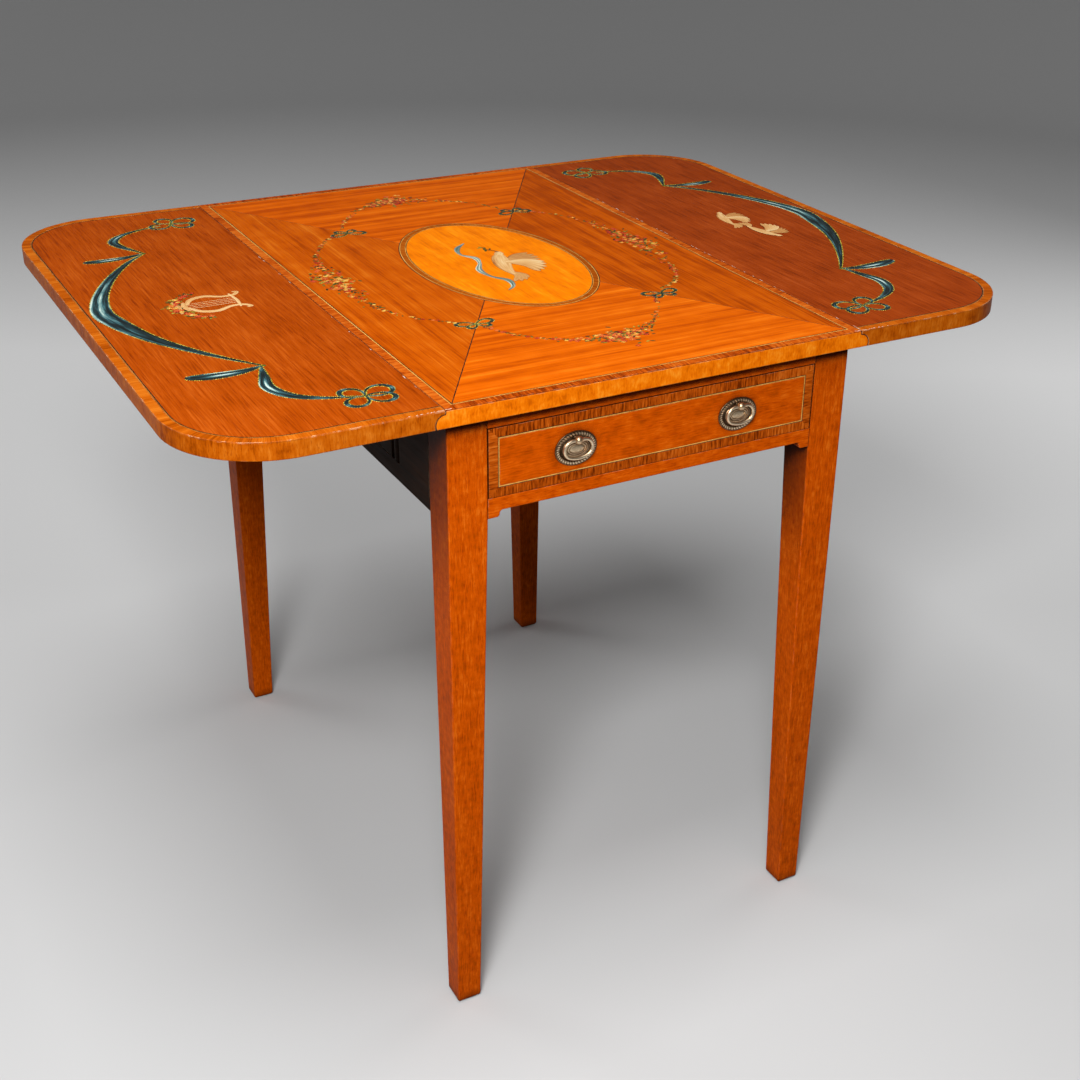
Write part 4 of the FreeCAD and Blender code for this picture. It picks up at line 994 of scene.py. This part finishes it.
t = np.linspace(-1, 1, blooms)
wreath = np.column_stack([40 * t, -40 + 26 * t ** 2]) + rng.normal(0, 1.6, (blooms, 2))
place = np.column_stack([seat[0] + wreath[:, 1], seat[1] - wreath[:, 0]])
flowers = np.column_stack([place, rng.uniform(2.2, 4.2, blooms), rng.uniform(0, 1, blooms)])
grid, shade = blossoms(flowers, rng)
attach(surface("leaf_flowers", grid + (0, 0, 0.1 * mm), petal_paint, tone=shade), "left_leaf")
blades = 3 * blooms
green = np.repeat(place, 3, axis=0) + rng.normal(0, 2.5, (blades, 2))
heading, lengths = rng.uniform(0, 2 * np.pi, blades), rng.uniform(5, 8, blades)
grid = touches(green, heading, lengths, rng.uniform(1.3, 1.9, blades))
shade = rng.uniform(0.1, 0.9, (blades, 1, 1))
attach(surface("leaf_greenery", on_top(grid), leaf_paint, tone=shade), "left_leaf")

# %% [markdown]
# ## Ring handles
# An oval plate was stamped from thin brass with a beaded rim, a hollow and a ridged boss. A ball-headed
# post goes through it, and an oval ring swings in the ball. A plate is a function of the angle round it and
# of the way in from its edge, a ball post is a profile turned about its axis, and a ring is a circle
# carried along its path.


# %% Plates, posts and rings
ball, ball_out, ball_rise = 4.4, 5.7, 10.3


def end_grid(hand, along, rise, out, side):
    """A handle's own (along, rise, out), in millimetres, to the drawer end (-1) or the far end (1)."""
    along, rise, out = np.broadcast_arrays(along, rise, out)
    grid = np.stack([hand * knob_x + along, side * (leg_y + out), knob_z + rise], axis=-1) * mm
    return grid if side > 0 else grid[..., ::-1, :]


def plate(hand, side):
    """Oval plate: half sizes and height run through a list of steps, and 40 slanted beads stand on the rim.

    A point lies at (A cos a, B sin a). A bead adds the root of a half cosine along the rim, times a half
    circle across it. Hollows are dark and crests light, from the height and its second difference, and the
    boss is lighter all over, a painted highlight.
    """
    steps = np.array([(23, 18, 0), (23, 18, 0.6), (22.8, 17.8, 0.9), (22.2, 17.2, 1.0), (18.4, 13.4, 1.0),
                      (18.0, 13.0, 0.9), (17.6, 12.6, 0.6), (15.2, 10.2, 0.5), (14.8, 9.8, 0.9),
                      (14.2, 9.3, 1.7), (13.2, 8.5, 1.6), (11.8, 7.3, 2.1), (10.8, 6.5, 1.9), (9.4, 5.4, 2.6),
                      (8.4, 4.7, 2.4), (7.0, 3.7, 3.0), (5.4, 2.6, 3.2), (2.6, 1.2, 3.35), (0, 0, 3.4)])
    beads, bead_in, bead_half, bead_high = 40, 2.9, 1.8, 0.9
    q = np.linspace(0, len(steps) - 1, 3 * len(steps) - 2)
    wide, tall, out = (np.interp(q, np.arange(len(steps)), steps[:, i])[:, None] for i in range(3))
    angle = round_angles(6 * beads)
    inset = steps[0, 0] - wide
    rim = np.sqrt(np.clip(1 - ((inset - bead_in) / bead_half) ** 2, 0, 1))
    bead = np.sqrt(np.cos(beads * angle + 0.6 * (inset - bead_in)) * 0.5 + 0.5)
    high = out + bead_high * rim * bead
    crest = np.gradient(np.gradient(high, axis=0), axis=0)
    # the boss within the hollow is lighter all over: a painted highlight
    tone = np.clip(0.3 + 0.12 * high - 1.2 * crest + 0.3 * rim * (bead - 0.7) + 0.12 * (inset > 8.0), 0, 1)
    return end_grid(hand, wide * np.cos(angle), tall * np.sin(angle), high, side), tone


def post(hand, side):
    """Tail, collar, neck and ball turned about the post's axis: the ball's profile is (r cos q, r sin q)."""
    q = np.linspace(-1.05, np.pi / 2, 22)
    tail = -20.9 if side < 0 else -22.9
    radius = np.concatenate([[0, 1.9, 1.9, 3.4, 3.4, 2.9, 2.3, 2.2], ball * np.cos(q)])[:, None]
    out = np.concatenate([[tail, tail, 0.6, 0.6, 1.2, 1.5, 1.6, 1.7], ball_out + ball * np.sin(q)])[:, None]
    turn = round_angles(40)
    tone = np.broadcast_to(np.clip(0.2 + 0.06 * out, 0, 0.75), (len(out), len(turn)))
    return end_grid(hand, radius * np.cos(turn), ball_rise + radius * np.sin(turn), out, side), tone


def ring(hand, side):
    """Circle of 1.7 mm carried round an oval: a straight of 13 mm, bends of 8.9 mm and a foot of 26 mm."""
    half, bend_r, foot_r, wire = 6.5, 8.9, 26.0, 1.7
    lean = np.arccos(half / (foot_r - bend_r))
    foot_rise = (foot_r - bend_r) * np.sin(lean) - bend_r
    h = np.linspace(np.pi / 2, -lean, 40)
    right_bend = np.column_stack([half + bend_r * np.cos(h), bend_r * (np.sin(h) - 1), h])
    f = np.linspace(-lean, lean - np.pi, 22)[1:-1]
    foot = np.column_stack([foot_r * np.cos(f), foot_rise + foot_r * np.sin(f), f])
    left_bend = right_bend[::-1] * (-1, 1, -1) + (0, 0, np.pi)
    flat = np.column_stack([np.linspace(-half, half, 8)[1:-1], np.zeros(6), np.full(6, np.pi / 2)])
    along, rise, heading = (column[:, None] for column in np.vstack([right_bend, foot, left_bend, flat]).T)
    turn = round_angles(18)
    aside = wire * np.cos(turn)
    tone = np.broadcast_to(np.clip(0.7 + 0.2 * np.sin(turn), 0, 1), (len(along), len(turn)))
    return end_grid(hand, along + aside * np.cos(heading), ball_rise + rise + aside * np.sin(heading),
                    ball_out + wire * np.sin(turn), side), tone


for end, body, owner, side in (("front", "drawer", "drawer", -1), ("back", "frame", "back", 1)):
    for kind, maker in (("plates", plate), ("posts", post)):
        grids, tones = zip(*(maker(hand, side) for _, hand in hands))
        tone = np.array(tones)[:, :, ::side]
        piece = surface("%s_brass_%s" % (owner, kind), grids, brass, (False, True), tone=tone)
        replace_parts(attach(piece, body), "%s_handle_%s" % (owner, kind))
    for name, hand in hands:
        grid, tone = ring(hand, side)
        piece = surface("ring_%s_%s" % (end, name), grid, brass, (True, True), tone=tone[:, ::side])
        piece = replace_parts(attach(piece, "%s_%s_bail" % (end, name)), "bail_%s_%s" % (end, name))

# %% [markdown]
# ## Hinge screws
# Each hinge plate is held by slotted screws, sunk level with the iron. A head is a shallow dome on a polar
# grid, and points within half a slot of its middle line are pushed in.

# %% Screws under the top
def screw_heads(places, turns):
    """Heads that face down, proud by 0.03 + 0.03 (1 - r * r) mm, each with a slot turned by its angle."""
    radius, slot_half, slot_deep = 2.9, 0.55, -0.35
    r = np.array([1.0, 0.97, 0.75, 0.5, 0.34, 0.2, 0.0])[:, None]
    a = round_angles(24)
    x, y = radius * r * np.cos(a), radius * r * np.sin(a)
    made = []
    for place, turn in zip(places, turns):
        slot = np.abs(x * np.sin(turn) - y * np.cos(turn)) < slot_half
        deep = np.where(slot & (r < 0.98), slot_deep, 0.03 + 0.03 * (1 - r * r))
        low = -top_thick - np.where(r > 0.99, -0.3, deep)
        made.append(np.stack([place[0] + x, place[1] + y, low], axis=-1))
    return on_top(made)


hinge_y, leaf_steps = (-250, 0, 250), ((14, 12), (26, -12), (38, 12))
for name, body, signs, steps in (("top", "frame", (-1, 1), ((-11, 12), (-11, -12), (-22, 0))),
                                 ("left", "left_leaf", (-1,), leaf_steps),
                                 ("right", "right_leaf", (1,), leaf_steps)):
    places = [(sign * (joint_x + dx), y + dy) for sign in signs for y in hinge_y for dx, dy in steps]
    heads = screw_heads(np.array(places, float), np.random.default_rng(5).uniform(0, np.pi, len(places)))
    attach(surface("hinge_screws_" + name, heads, steel, (False, True)), body)
